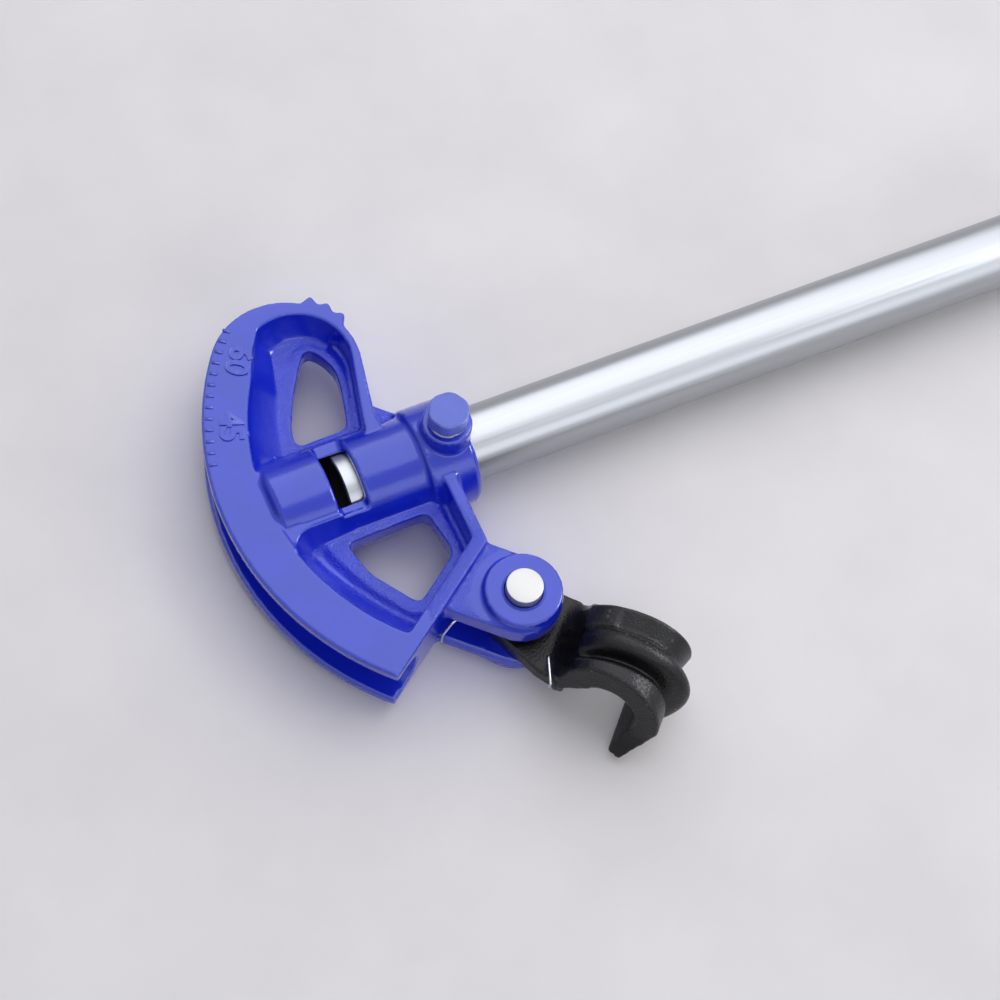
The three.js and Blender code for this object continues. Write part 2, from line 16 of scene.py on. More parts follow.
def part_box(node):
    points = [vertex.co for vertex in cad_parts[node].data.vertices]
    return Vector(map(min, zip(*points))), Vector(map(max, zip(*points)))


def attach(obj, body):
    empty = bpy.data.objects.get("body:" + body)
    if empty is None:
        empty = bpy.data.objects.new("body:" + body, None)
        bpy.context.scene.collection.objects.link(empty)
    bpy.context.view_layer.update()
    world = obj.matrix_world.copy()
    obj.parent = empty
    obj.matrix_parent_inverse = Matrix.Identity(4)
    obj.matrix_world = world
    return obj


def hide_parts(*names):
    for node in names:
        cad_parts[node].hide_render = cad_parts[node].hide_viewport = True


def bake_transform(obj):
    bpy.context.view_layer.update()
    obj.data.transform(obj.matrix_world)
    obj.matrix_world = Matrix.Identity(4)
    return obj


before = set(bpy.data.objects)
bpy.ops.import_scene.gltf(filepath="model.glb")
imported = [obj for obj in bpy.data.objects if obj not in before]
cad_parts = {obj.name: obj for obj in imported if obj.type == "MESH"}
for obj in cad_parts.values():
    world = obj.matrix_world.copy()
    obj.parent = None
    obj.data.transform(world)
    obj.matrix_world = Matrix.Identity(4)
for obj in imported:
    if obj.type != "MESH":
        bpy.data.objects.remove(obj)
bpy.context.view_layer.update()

MM = 0.001
collection = bpy.context.scene.collection

# %% [markdown]
# Every size on a bender is counted from the centre of its bend, so that point is the origin of
# the sizes below. The handle's axis passes through it, and the handle starts a known distance
# from it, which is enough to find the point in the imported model.

# %% The centre of the bend, and a function that places a point from it
HANDLE_START = -62.2
tube_low, tube_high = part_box("handle_tube")
bend = Vector((
    tube_low.x - HANDLE_START * MM,
    (tube_low.y + tube_high.y) / 2,
    (tube_low.z + tube_high.z) / 2,
))


def at(x, y, z):
    """A point given in millimetres from the centre of the bend."""
    return bend + Vector((x, y, z)) * MM


# The hook's pin along and across the handle, and the angle of the shoe's tip round the bend
PIVOT = (-21.109, -64.064)
TIP_ANGLE = math.radians(226.3)
print("centre of the bend:", [round(v, 4) for v in bend])

# %% [markdown]
# The camera looks down on the tool from 0.7 m, tilted and turned. A camera can be pointed by
# hand, but numbers with a meaning are easier to mend. Three turns and a distance describe this
# one: a turn about the vertical, a tilt away from straight down, and a roll of the frame. Turns
# are in degrees and lengths in millimetres.

# %% The camera
LENS = 72.19
SENSOR = 36
NEAREST_SEEN = 10
CAMERA_TURN = 36.283
CAMERA_TILT = 26.0
CAMERA_ROLL = -12.924
CAMERA_DISTANCE = 727.41
CAMERA_ASIDE = -0.724
CAMERA_ABOVE = 23.912


def turn(angle, axis):
    """A turn by so many degrees about an axis."""
    return Matrix.Rotation(math.radians(angle), 3, axis)

to_view = turn(CAMERA_ROLL, "Z") @ turn(-CAMERA_TILT, "X") @ turn(CAMERA_TURN, "Z")
from_view = to_view.transposed()
camera_data = bpy.data.cameras.new("camera")
camera_data.lens = LENS
camera_data.sensor_width = SENSOR
camera_data.clip_start = NEAREST_SEEN * MM
camera = bpy.data.objects.new("camera", camera_data)
collection.objects.link(camera)
stand = from_view @ (Vector((-CAMERA_ASIDE, -CAMERA_ABOVE, CAMERA_DISTANCE)) * MM) + bend
camera.matrix_world = Matrix.Translation(stand) @ from_view.to_4x4()
bpy.context.scene.camera = camera
print("camera stands at", [round(v, 3) for v in stand])

# %% [markdown]
# A finish is a few nodes. One helper adds a node, sets its options and fills or links its
# inputs, so that each material below reads as a list of what it mixes. A second helper turns
# the usual hex colour into the linear numbers that a shader works in. Some sockets of a node
# share a name, such as those of a Mix node, and these are reached by their numbers.

# %% Helpers for colours and nodes
SHARE, COLOUR_A, COLOUR_B, MIXED = 0, 6, 7, 2


def linear(hexcode):
    """An sRGB hex colour as linear red, green, blue and alpha."""
    shares = [int(hexcode[i:i + 2], 16) / 255 for i in (1, 3, 5)]
    bent = [s / 12.92 if s <= 0.04045 else ((s + 0.055) / 1.055) ** 2.4 for s in shares]
    return (*bent, 1)


def add(tree, kind, inputs=None, **options):
    """A new node with its options set, and each named input given a value or a link."""
    node = tree.nodes.new(kind)
    for name, value in options.items():
        setattr(node, name, value)
    for name, value in (inputs or {}).items():
        socket = node.inputs[name]
        if isinstance(value, bpy.types.NodeSocket):
            tree.links.new(value, socket)
        else:
            socket.default_value = value
    return node


def new_material(name):
    """An empty node tree with its shader and output, and the object's own coordinates."""
    material = bpy.data.materials.new(name)
    material.use_nodes = True
    tree = material.node_tree
    tree.nodes.clear()
    shader = add(tree, "ShaderNodeBsdfPrincipled")
    add(tree, "ShaderNodeOutputMaterial", {"Surface": shader.outputs["BSDF"]})
    coords = add(tree, "ShaderNodeTexCoord").outputs["Object"]
    return material, tree, shader, coords


def noise(tree, coords, size, detail=3, stretch=None):
    """A soft random pattern whose blobs are about so many millimetres across."""
    if stretch:
        mapping = add(tree, "ShaderNodeMapping", {"Vector": coords, "Scale": stretch})
        coords = mapping.outputs["Vector"]
    scale = 1 / (size * MM)
    return add(tree, "ShaderNodeTexNoise", {"Vector": coords, "Scale": scale, "Detail": detail})


# %% [markdown]
# The floor is plain and pale, with hardly any gloss, and a soft cloud in its colour keeps it from
# looking like a flat card. It is stage, not object.

# %% The floor
FLOOR_SIZE = 8
CLOUD = 70
floor_mesh = bpy.data.meshes.new("floor")
half = FLOOR_SIZE / 2
corners = [(-half, -half, 0), (half, -half, 0), (half, half, 0), (-half, half, 0)]
floor_mesh.from_pydata(corners, [], [(0, 1, 2, 3)])
floor = bpy.data.objects.new("floor", floor_mesh)
collection.objects.link(floor)
floor_paint, tree, shader, coords = new_material("pale_floor")
cloud = noise(tree, coords, CLOUD, 5).outputs["Fac"]
cloud = add(tree, "ShaderNodeMapRange", {"Value": cloud, "From Min": 0.35, "From Max": 0.65})
colour = add(tree, "ShaderNodeMix", {
    SHARE: cloud.outputs[0], COLOUR_A: linear("#f1f0f2"), COLOUR_B: linear("#f8f7f8"),
}, data_type="RGBA")
tree.links.new(colour.outputs[MIXED], shader.inputs["Base Color"])
shader.inputs["Roughness"].default_value = 0.9
shader.inputs["Specular IOR Level"].default_value = 0.2
floor_mesh.materials.append(floor_paint)
print("the floor is", FLOOR_SIZE, "m across")

# %% [markdown]
# The world does three things at once, told apart by the kind of ray that meets it. What the
# camera sees behind the floor is pale at full strength. What lights the tool is weak, because
# the lamps do that work. What metal and paint mirror is the pale room, dimmer towards the
# horizon than overhead, and that gives the tube its dark edges.

# %% The world
WORLD_LIGHT = 0.13
MIRRORED_LOW, MIRRORED_HIGH, MIRRORED_UP_TO = 0.25, 1.1, 0.45
world = bpy.data.worlds.new("studio")
bpy.context.scene.world = world
world.use_nodes = True
tree = world.node_tree
tree.nodes.clear()
path = add(tree, "ShaderNodeLightPath")
light = add(tree, "ShaderNodeBackground", {"Color": linear("#fbfafa"), "Strength": WORLD_LIGHT})
direction = add(tree, "ShaderNodeTexCoord").outputs["Generated"]
way_up = add(tree, "ShaderNodeSeparateXYZ", {"Vector": direction}).outputs["Z"]
brightness = add(tree, "ShaderNodeMapRange", {
    "Value": way_up, "From Max": MIRRORED_UP_TO, "To Min": MIRRORED_LOW, "To Max": MIRRORED_HIGH,
})
mirrored = add(tree, "ShaderNodeBackground", {
    "Color": linear("#f4f6fa"), "Strength": brightness.outputs[0],
})
seen = add(tree, "ShaderNodeBackground", {"Color": linear("#ebebed"), "Strength": 1.0})
lit = add(tree, "ShaderNodeMixShader", {
    0: path.outputs["Is Glossy Ray"], 1: light.outputs[0], 2: mirrored.outputs[0],
})
mixed = add(tree, "ShaderNodeMixShader", {
    0: path.outputs["Is Camera Ray"], 1: lit.outputs[0], 2: seen.outputs[0],
})
add(tree, "ShaderNodeOutputWorld", {"Surface": mixed.outputs[0]})
bpy.context.scene.view_settings.view_transform = "Standard"
print("light from the world:", WORLD_LIGHT)

# %% [markdown]
# Five lamps light the tool. A large panel overhead stands where the flat faces of the casting
# mirror it towards the camera, and gives the paint its pale sheen. A long strip on the near side
# draws the second bright line along the tube and the socket. A weak one on the handle's side
# and one above the camera only fill: the second lights the floor under the windows. The last
# one is low on the handle's side. It lights nothing and shows only where a glossy face mirrors
# it, most of all as the gleam along the hook's dark crests.

# %% Lamps


def panel(name, aim, towards, distance, size, watts, tint):
    """A broad soft lamp that looks at a point from a direction."""
    data = bpy.data.lights.new(name, "AREA")
    data.color = linear(tint)[:3]
    data.shape = "RECTANGLE"
    data.size, data.size_y = size
    data.energy = watts
    lamp = bpy.data.objects.new(name, data)
    collection.objects.link(lamp)
    way = Vector(towards).normalized()
    across = Vector((0, 1, 0)).cross(way).normalized()
    lamp.location = aim + way * distance
    lamp.rotation_euler = Matrix((across, way.cross(across), way)).transposed().to_euler()
    return lamp


shoe_middle = at(-55, -10, 0)
side = panel("side_panel", shoe_middle, (1.0, 0.0, 0.85), 1.6, (1.4, 1.4), 4.4, "#fffaf6")
front = panel("front_panel", shoe_middle, (-0.15, -0.42, 1.0), 1.7, (0.6, 0.6), 2.7, "#fffcfa")
side.visible_glossy = front.visible_glossy = False
gleam = panel("gleam_panel", shoe_middle, (0.85, -0.24, 0.5), 1.7, (0.5, 0.65), 15, "#f8f9ff")
gleam.visible_diffuse = False
sheen = panel("sheen_panel", shoe_middle, (0.26, 0.42, 0.9), 1.7, (1.8, 2.6), 21.5, "#faf9ff")
strip = panel("strip_panel", shoe_middle, (0.26, -0.87, 0.5), 1.7, (2.4, 0.66), 6.2, "#f8f9ff")
print("lamps:", [lamp.name for lamp in (side, front, gleam, sheen, strip)])

# %% [markdown]
# The shoe, the hook and the bolt head are cast or forged and then painted, so none of their
# edges is sharp and every inside corner is filled a little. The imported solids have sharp
# corners. A bevel would stumble where many faces meet. A distance field doesn't, and it rounds
# them in a few steps: the solid grows by the size of the fillet, shrinks by that and the
# rounding, and grows back. Growing and shrinking fills the inside corners, and shrinking and
# growing rounds the outside ones. Geometry Nodes does this in one tree, which serves each such
# piece with its own sizes.

# %% A tree that fills inside corners and rounds outside ones
SMOOTHING_PASSES = 2


def named_inputs(tree, modifier, values):
    """Sets a modifier's inputs by the names that its tree gives them."""
    for item in tree.interface.items_tree:
        if item.in_out == "INPUT" and item.name in values:
            modifier[item.identifier] = values[item.name]


def new_geometry_tree(name, sockets):
    """A tree with a mesh going in, some named inputs, and a mesh coming out."""
    tree = bpy.data.node_groups.new(name, "GeometryNodeTree")
    tree.interface.new_socket("Geometry", in_out="INPUT", socket_type="NodeSocketGeometry")
    for label, kind in sockets.items():
        tree.interface.new_socket(label, in_out="INPUT", socket_type="NodeSocket" + kind)
    tree.interface.new_socket("Geometry", in_out="OUTPUT", socket_type="NodeSocketGeometry")
    return tree, tree.nodes.new("NodeGroupInput").outputs


def end_tree(tree, inputs, mesh):
    """Closes a tree: instances become real, faces are shaded smooth and the finish is set."""
    real = add(tree, "GeometryNodeRealizeInstances", {"Geometry": mesh}).outputs[0]
    smooth = add(tree, "GeometryNodeSetShadeSmooth", {"Geometry": real}).outputs[0]
    painted = add(tree, "GeometryNodeSetMaterial", {"Geometry": smooth, "Material": inputs["Material"]})
    tree.links.new(painted.outputs[0], tree.nodes.new("NodeGroupOutput").inputs[0])


soften, inputs = new_geometry_tree("soften", {
    "Voxel": "Float", "Band": "Int", "Fillet": "Float", "Rounding": "Float", "Material": "Material",
})
shrink = add(soften, "ShaderNodeMath", {
    0: inputs["Fillet"], 1: inputs["Rounding"],
}, operation="ADD").outputs[0]
shrink = add(soften, "ShaderNodeMath", {0: shrink, 1: -1.0}, operation="MULTIPLY").outputs[0]
mesh = inputs["Geometry"]
for growth in (inputs["Fillet"], shrink, inputs["Rounding"]):
    field = add(soften, "GeometryNodeMeshToSDFGrid", {
        "Mesh": mesh, "Voxel Size": inputs["Voxel"], "Band Width": inputs["Band"],
    }).outputs[0]
    mesh = add(soften, "GeometryNodeGridToMesh", {"Grid": field, "Threshold": growth}).outputs[0]
place = add(soften, "GeometryNodeInputPosition").outputs[0]
even = add(soften, "GeometryNodeBlurAttribute", {
    "Value": place, "Iterations": SMOOTHING_PASSES,
}, data_type="FLOAT_VECTOR").outputs[0]
mesh = add(soften, "GeometryNodeSetPosition", {"Geometry": mesh, "Position": even}).outputs[0]
end_tree(soften, inputs, mesh)
print("inputs of the tree:", [item.name for item in soften.interface.items_tree])

# %% [markdown]
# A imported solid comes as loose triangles, so its copy is merged before a tree runs on it. The
# tree is a modifier only while it works: its result is kept as a plain mesh, because later
# steps move single points of it. A distance field gives flat faces far more triangles than they
# need, so the mesh is thinned to a share of them.

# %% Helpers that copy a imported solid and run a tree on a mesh
MERGE_WITHIN = 0.001

def copied(node):
    """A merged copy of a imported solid's mesh, in the shared frame."""
    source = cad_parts[node]
    mesh = source.data.copy()
    mesh.transform(source.matrix_world)
    shape = bmesh.new()
    shape.from_mesh(mesh)
    bmesh.ops.remove_doubles(shape, verts=shape.verts, dist=MERGE_WITHIN * MM)
    shape.to_mesh(mesh)
    shape.free()
    mesh.materials.clear()
    return mesh


def grown(name, tree, mesh, keep=1.0, **values):
    """The plain mesh that a tree makes from a mesh, thinned to a share of its faces."""
    piece = bpy.data.objects.new(name, mesh)
    collection.objects.link(piece)
    modifier = piece.modifiers.new("tree", "NODES")
    modifier.node_group = tree
    named_inputs(tree, modifier, values)
    if keep < 1:
        piece.modifiers.new("thin", "DECIMATE").ratio = keep
    made = bpy.data.meshes.new_from_object(piece.evaluated_get(bpy.context.evaluated_depsgraph_get()))
    piece.modifiers.clear()
    piece.data = made
    made.name = name
    triangles = sum(len(face.vertices) - 2 for face in made.polygons)
    print(name, "has", triangles, "triangles")
    return piece


def softened(name, solid, material, voxel, fillet, rounding, keep):
    """A solid with filled inside corners and rounded edges, all in millimetres."""
    band = math.ceil((fillet + rounding) / voxel) + 3
    return grown(
        name, soften, solid, keep, Voxel=voxel * MM, Band=band,
        Fillet=fillet * MM, Rounding=rounding * MM, Material=material,
    )

# %% [markdown]
# The shoe wears a blue enamel over a cast skin. The coat is thick and glossy enough to mirror a
# bright ceiling as a pale veil on the level faces, and its surface keeps the slight waves of
# sprayed paint. The raised frames and the ear were left as cast, so their skin is grainy under
# the paint, and the socket's bore is bare iron, coloured near black: its own dark iron and painted
# shade for the dark inside of the socket. Sharply bent edges get a paler blue, a painted
# highlight. Attributes on the mesh, made below, say where the skin is grainy and where the bore
# is. Waves and grain are only bumps in the shading, because they are too shallow to change an
# outline.

# %% Blue enamel
# Sizes in millimetres: blotches of colour, waves of the sprayed coat, grain of the cast skin
BLOTCH, PEEL, GRAIN = 16, 2.4, 0.65
PEEL_HEIGHT, GRAIN_HEIGHT = 0.12, 0.5
# How sharply a surface bends where the painted highlight on edges starts, and where it is brightest
PAINT_HIGHLIGHT_FROM, PAINT_HIGHLIGHT_TO = 0.513, 0.55


def blue_enamel(name, body, highlight_colour):
    """Sprayed blue paint, with a painted highlight on sharply bent edges and a grainy skin where asked.
    """
    material, tree, shader, coords = new_material(name)
    blotch = noise(tree, coords, BLOTCH, 2).outputs["Fac"]
    shade = add(tree, "ShaderNodeMapRange", {
        "Value": blotch, "From Min": 0.35, "From Max": 0.65, "To Min": 0.93, "To Max": 1.06,
    })
    tint = add(tree, "ShaderNodeHueSaturation", {"Value": shade.outputs[0], "Color": linear(body)})
    # Sharply bent edges get a paler blue: a painted highlight.
    bend_of_face = add(tree, "ShaderNodeNewGeometry").outputs["Pointiness"]
    thin = add(tree, "ShaderNodeMapRange", {
        "Value": bend_of_face, "From Min": PAINT_HIGHLIGHT_FROM, "From Max": PAINT_HIGHLIGHT_TO, "To Max": 0.6,
    })
    colour = add(tree, "ShaderNodeMix", {
        SHARE: thin.outputs[0], COLOUR_A: tint.outputs[0], COLOUR_B: linear(highlight_colour),
    }, data_type="RGBA")
    # The bore turns near black: bare iron, darkened with painted shade for the dark inside of the
    # socket.
    bare = add(tree, "ShaderNodeAttribute", attribute_name="bare").outputs["Fac"]
    whole = add(tree, "ShaderNodeMix", {
        SHARE: bare, COLOUR_A: colour.outputs[MIXED], COLOUR_B: linear("#0b0b0d"),
    }, data_type="RGBA")
    tree.links.new(whole.outputs[MIXED], shader.inputs["Base Color"])
    rough = add(tree, "ShaderNodeAttribute", attribute_name="grain").outputs["Fac"]
    grit = noise(tree, coords, GRAIN, 4).outputs["Fac"]
    depth = add(tree, "ShaderNodeMath", {0: rough, 1: 0.9, 2: 0.07}, operation="MULTIPLY_ADD")
    skin = add(tree, "ShaderNodeBump", {
        "Height": grit, "Strength": depth.outputs[0], "Distance": GRAIN_HEIGHT * MM,
    })
    waves = noise(tree, coords, PEEL, 2).outputs["Fac"]
    peel = add(tree, "ShaderNodeBump", {
        "Height": waves, "Strength": 0.35, "Distance": PEEL_HEIGHT * MM, "Normal": skin.outputs[0],
    })
    tree.links.new(peel.outputs[0], shader.inputs["Normal"])
    gloss = add(tree, "ShaderNodeMapRange", {"Value": rough, "To Min": 0.22, "To Max": 0.3})
    tree.links.new(gloss.outputs[0], shader.inputs["Roughness"])
    shader.inputs["Coat Weight"].default_value = 0.65
    shader.inputs["Specular Tint"].default_value = linear("#d6efff")
    shader.inputs["Coat Roughness"].default_value = 0.12
    tree.links.new(peel.outputs[0], shader.inputs["Coat Normal"])
    return material


shoe_paint = blue_enamel("blue_enamel_on_cast_skin", "#142ad0", "#6f80f0")
# The bolt's blue is paler than the shoe's: partly worn paint, partly a painted sheen on its head.
bolt_paint = blue_enamel("blue_enamel_on_forged_head", "#4a5cd4", "#8f9cf4")
print("paints:", shoe_paint.name, bolt_paint.name)

# %% [markdown]
# The tube handle is steel pipe with a bright zinc coat. Drawing and plating leave faint streaks
# along it, so the patterns are stretched along the handle. The small steel parts are bright too:
# the pin is turned, the spring is drawn wire and the lock washer has a duller zinc. All four
# are metals that differ only in colour, gloss and the pattern of how they were worked, so one
# function makes them. The streaks are drawn coarser than the real ones, so that they show.

# %% Bright metals


def bright_metal(name, colour, roughness, streak, stretch):
    """A bright metal with a worked pattern of so many millimetres in its gloss and height."""
    material, tree, shader, coords = new_material(name)
    shader.inputs["Metallic"].default_value = 1.0
    lines = noise(tree, coords, streak, 4, stretch).outputs["Fac"]
    low, high = roughness
    gloss = add(tree, "ShaderNodeMapRange", {
        "Value": lines, "From Min": 0.3, "From Max": 0.7, "To Min": low, "To Max": high,
    })
    tree.links.new(gloss.outputs[0], shader.inputs["Roughness"])
    value = add(tree, "ShaderNodeMapRange", {
        "Value": lines, "From Min": 0.3, "From Max": 0.7, "To Min": 0.94, "To Max": 1.03,
    })
    tint = add(tree, "ShaderNodeHueSaturation", {"Value": value.outputs[0], "Color": linear(colour)})
    tree.links.new(tint.outputs[0], shader.inputs["Base Color"])
    bump = add(tree, "ShaderNodeBump", {"Height": lines, "Strength": 0.12, "Distance": 0.05 * MM})
    tree.links.new(bump.outputs[0], shader.inputs["Normal"])
    return material


zinc = bright_metal("drawn_zinc_tube", "#afb2b6", (0.3, 0.4), 1.6, (0.02, 1, 1))
turned_steel = bright_metal("turned_steel_pin", "#b4b4b2", (0.4, 0.5), 0.6, (1, 1, 0.3))
wire_steel = bright_metal("drawn_spring_wire", "#d2d3d5", (0.2, 0.3), 0.5, (1, 1, 1))
dull_zinc = bright_metal("dull_zinc_washer", "#c9cacb", (0.35, 0.45), 0.6, (1, 1, 1))
print("metals:", [metal.name for metal in (zinc, turned_steel, wire_steel, dull_zinc)])

# %% [markdown]
# The hook is a coarse iron casting in a black coat. The coat is satin, so edges and crests catch
# soft light, and the sand of the mould still shows as a grain under it. Where the casting bends
# sharply the coat is painted grey, a painted highlight.

# %% Black coat on the hook
# Sizes in millimetres: grains of sand and lumps in the casting
SAND, LUMP = 0.75, 4.5
SAND_HEIGHT = LUMP_HEIGHT = 0.3
# How sharply a surface bends where the painted highlight starts, and where it is brightest
COAT_HIGHLIGHT_FROM, COAT_HIGHLIGHT_TO = 0.512, 0.55
black_coat, tree, shader, coords = new_material("black_coat_on_cast_iron")
sand = noise(tree, coords, SAND, 4).outputs["Fac"]
swell = noise(tree, coords, LUMP, 2).outputs["Fac"]
tone = add(tree, "ShaderNodeMapRange", {"Value": sand, "From Min": 0.3, "From Max": 0.75})
dark = add(tree, "ShaderNodeMix", {
    SHARE: tone.outputs[0], COLOUR_A: linear("#030304"), COLOUR_B: linear("#0b0b0e"),
}, data_type="RGBA")
# Sharp bends are painted grey: a painted highlight along the edges.
bend_of_face = add(tree, "ShaderNodeNewGeometry").outputs["Pointiness"]
coat_highlight = add(tree, "ShaderNodeMapRange", {
    "Value": bend_of_face, "From Min": COAT_HIGHLIGHT_FROM, "From Max": COAT_HIGHLIGHT_TO, "To Max": 0.8,
})
colour = add(tree, "ShaderNodeMix", {
    SHARE: coat_highlight.outputs[0], COLOUR_A: dark.outputs[MIXED], COLOUR_B: linear("#4c4c54"),
}, data_type="RGBA")
tree.links.new(colour.outputs[MIXED], shader.inputs["Base Color"])
gloss = add(tree, "ShaderNodeMapRange", {
    "Value": sand, "From Min": 0.3, "From Max": 0.7, "To Min": 0.26, "To Max": 0.4,
})
shader.inputs["Coat Weight"].default_value = 0.15
shader.inputs["Coat Roughness"].default_value = 0.2
shader.inputs["Specular IOR Level"].default_value = 0.26
tree.links.new(gloss.outputs[0], shader.inputs["Roughness"])
skin = add(tree, "ShaderNodeBump", {
    "Height": sand, "Strength": 0.8, "Distance": SAND_HEIGHT * MM,
})
lumps = add(tree, "ShaderNodeBump", {
    "Height": swell, "Strength": 0.5, "Distance": LUMP_HEIGHT * MM, "Normal": skin.outputs[0],
})
tree.links.new(lumps.outputs[0], shader.inputs["Coat Normal"])
tree.links.new(lumps.outputs[0], shader.inputs["Normal"])
print("coat:", black_coat.name)

# %% [markdown]
# Two dull finishes need no more than a colour that varies a little and a fine bump. The plug in
# the far end of the handle is matt black plastic with a moulded texture. Inside the handle the
# iron is bare, with a thin brown scale, and its near-black colour is partly its own and partly
# painted shade for the dark inside of the pipe.

# %% Black plastic, and bare iron darkened with painted shade


def dull(name, dark, pale, size, roughness, strength, height):
    """A matt finish that varies between two colours in a pattern of so many millimetres."""
    material, tree, shader, coords = new_material(name)
    grain = noise(tree, coords, size, 3).outputs["Fac"]
    colour = add(tree, "ShaderNodeMix", {
        SHARE: grain, COLOUR_A: linear(dark), COLOUR_B: linear(pale),
    }, data_type="RGBA")
    tree.links.new(colour.outputs[MIXED], shader.inputs["Base Color"])
    shader.inputs["Roughness"].default_value = roughness
    bump = add(tree, "ShaderNodeBump", {
        "Height": grain, "Strength": strength, "Distance": height * MM,
    })
    tree.links.new(bump.outputs[0], shader.inputs["Normal"])
    return material


black_plastic = dull("moulded_black_plastic", "#151517", "#232326", 0.5, 0.6, 0.3, 0.1)
# Bare iron whose near-black colour is partly painted shade for the dark inside of the pipe
bare_iron_painted_dark = dull("bare_iron_painted_dark_inside_pipe", "#141313", "#2a2725", 1.5, 0.7, 0.4, 0.2)
print("dull finishes:", black_plastic.name, bare_iron_painted_dark.name)

# %% [markdown]
# The shoe is one casting with two flanges, a groove between them, windows, a socket and two
# ears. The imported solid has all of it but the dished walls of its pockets, where the metal
# slopes from the flange down to the web. A sloping wall could be cut from the solid, but it is
# simpler to add: a profile is carried along the wall, wider in some places than in others, and
# the distance field melts it into the casting.

# %% The profile of a dished wall, and how it follows a path
RIM_INNER = 89.8
LOBE = (-63.67, 46.26)
LOBE_POCKET = (LOBE[0] + 4.7, LOBE[1] + 1)
LOBE_POCKET_RADIUS = 19.4
DISH_TOP = 13.4
DISH_STEPS = 8


def on_arc(centre, radius, first, last, steps):
    """Points on an arc, given its centre, its radius and two angles in degrees."""
    angles = [math.radians(first + (last - first) * i / steps) for i in range(steps + 1)]
    return [Vector((centre[0] + radius * math.cos(a), centre[1] + radius * math.sin(a))) for a in angles]


def dish(shape, path, widths, backs, shelves, side, foot, hollowed):
    """A sloping fill from inside a wall down to a level shelf, on the right of the wall's path."""
    sections = []
    for i, spot in enumerate(path):
        way = (path[min(i + 1, len(path) - 1)] - path[max(i - 1, 0)]).normalized()
        inward = Vector((way.y, -way.x))
        profile = [(-backs[i], DISH_TOP), (-backs[i], 0)]
        profile += [(widths[i] + shelves[i], 0), (widths[i] + shelves[i], foot)]
        for k in range(DISH_STEPS + 1):
            share = 1 - k / DISH_STEPS
            hollow = 1 - math.cos(share * math.pi / 2)
            reach = widths[i] * (share + (hollow - share) * hollowed)
            fall = share + (math.sin(share * math.pi / 2) - share) * hollowed
            profile.append((reach, DISH_TOP - (DISH_TOP - foot) * fall))
        spots = [(spot + inward * across, side * height) for across, height in profile]
        sections.append([shape.verts.new(at(p.x, p.y, height)) for p, height in spots])
    count = len(sections[0])
    faces = [shape.faces.new(sections[0]), shape.faces.new(sections[-1])]
    for first, second in zip(sections, sections[1:]):
        for i in range(count):
            j = (i + 1) % count
            faces.append(shape.faces.new((first[i], first[j], second[j], second[i])))
    bmesh.ops.recalc_face_normals(shape, faces=faces)


# %% The dished walls of both pockets, on both sides of the web
WEB_TOP, FRAME_TOP = 1.8, 4.15
CORNER, CORNER_RADIUS = (-78.8, -22), 8
RIM_STEPS, LOBE_STEPS, CORNER_STEPS, WALL_STEPS, WALL_STEP = 14, 24, 12, 5, 4
UPPER_HOLLOW, LOWER_HOLLOW = 0.15, 0.2
LATE_FROM, LATE_OVER = 8, 6
along_rim, along_lobe = range(RIM_STEPS + 1), range(LOBE_STEPS + 1)


def late(change, i):
    """How much of a change has come by a point, if it comes over the last few of the rim."""
    return change * max(0, i - LATE_FROM) / LATE_OVER


# For each point of a path: the slope's width, how far it starts inside the wall, and the width
# of the level shelf at its foot, all in millimetres
upper_path = on_arc((0, 0), RIM_INNER, 178, 150, RIM_STEPS)
upper_path += on_arc(LOBE_POCKET, LOBE_POCKET_RADIUS, 128, 25, LOBE_STEPS)
upper_widths = [7.6] * 5 + [11.4 - late(1.4, i) for i in along_rim[5:]]
upper_widths += [7.2 - 3.6 * (1 - math.cos(math.pi * i / LOBE_STEPS)) / 2 for i in along_lobe]
upper_backs = [1.5] * len(upper_path)
upper_shelves = [0.1 + late(3, i) for i in along_rim]
upper_shelves += [5.2 * (1 + math.cos(math.pi * i / LOBE_STEPS)) / 2 + 0.2 for i in along_lobe]

lower_path = on_arc((0, 0), RIM_INNER, 226, 198, RIM_STEPS)
lower_path += on_arc(CORNER, CORNER_RADIUS, 195, 90, CORNER_STEPS)
for i in range(1, WALL_STEPS + 1):
    lower_path.append(Vector((CORNER[0] + WALL_STEP * i, CORNER[1] + CORNER_RADIUS)))
lower_widths = [9.4 - late(2.2, i) for i in along_rim]
lower_widths += [7.2] * (CORNER_STEPS + 1) + [7.0, 6.6, 6.0, 5.2, 4.6]
lower_backs = [1.5] * len(along_rim) + [4.5] * 10 + [0.1] * 8
lower_shelves = [0.1] * len(lower_path)

casting = bmesh.new()
casting.from_mesh(copied("bender_head"))
for side in (1, -1):
    dish(casting, upper_path, upper_widths, upper_backs, upper_shelves, side, FRAME_TOP, UPPER_HOLLOW)
    dish(casting, lower_path, lower_widths, lower_backs, lower_shelves, side, WEB_TOP, LOWER_HOLLOW)
head_mesh = bpy.data.meshes.new("head_with_dishes")
casting.to_mesh(head_mesh)
casting.free()
print("faces with the dished walls:", len(head_mesh.polygons))

# %% [markdown]
# The tree fills and rounds the corners of the whole casting at once. A polygon still stands for
# each round there, so points that lie near a true round are then moved onto it. The bottom
# corner of the socket's bore is cut and not cast, so its filled corner is made sharp again. The
# handle would strike the fill when it is pushed right in.

# %% The cast shoe
shoe = softened(
    "shoe_casting", head_mesh, shoe_paint, voxel=0.5, fillet=0.9, rounding=0.5, keep=0.4,
)


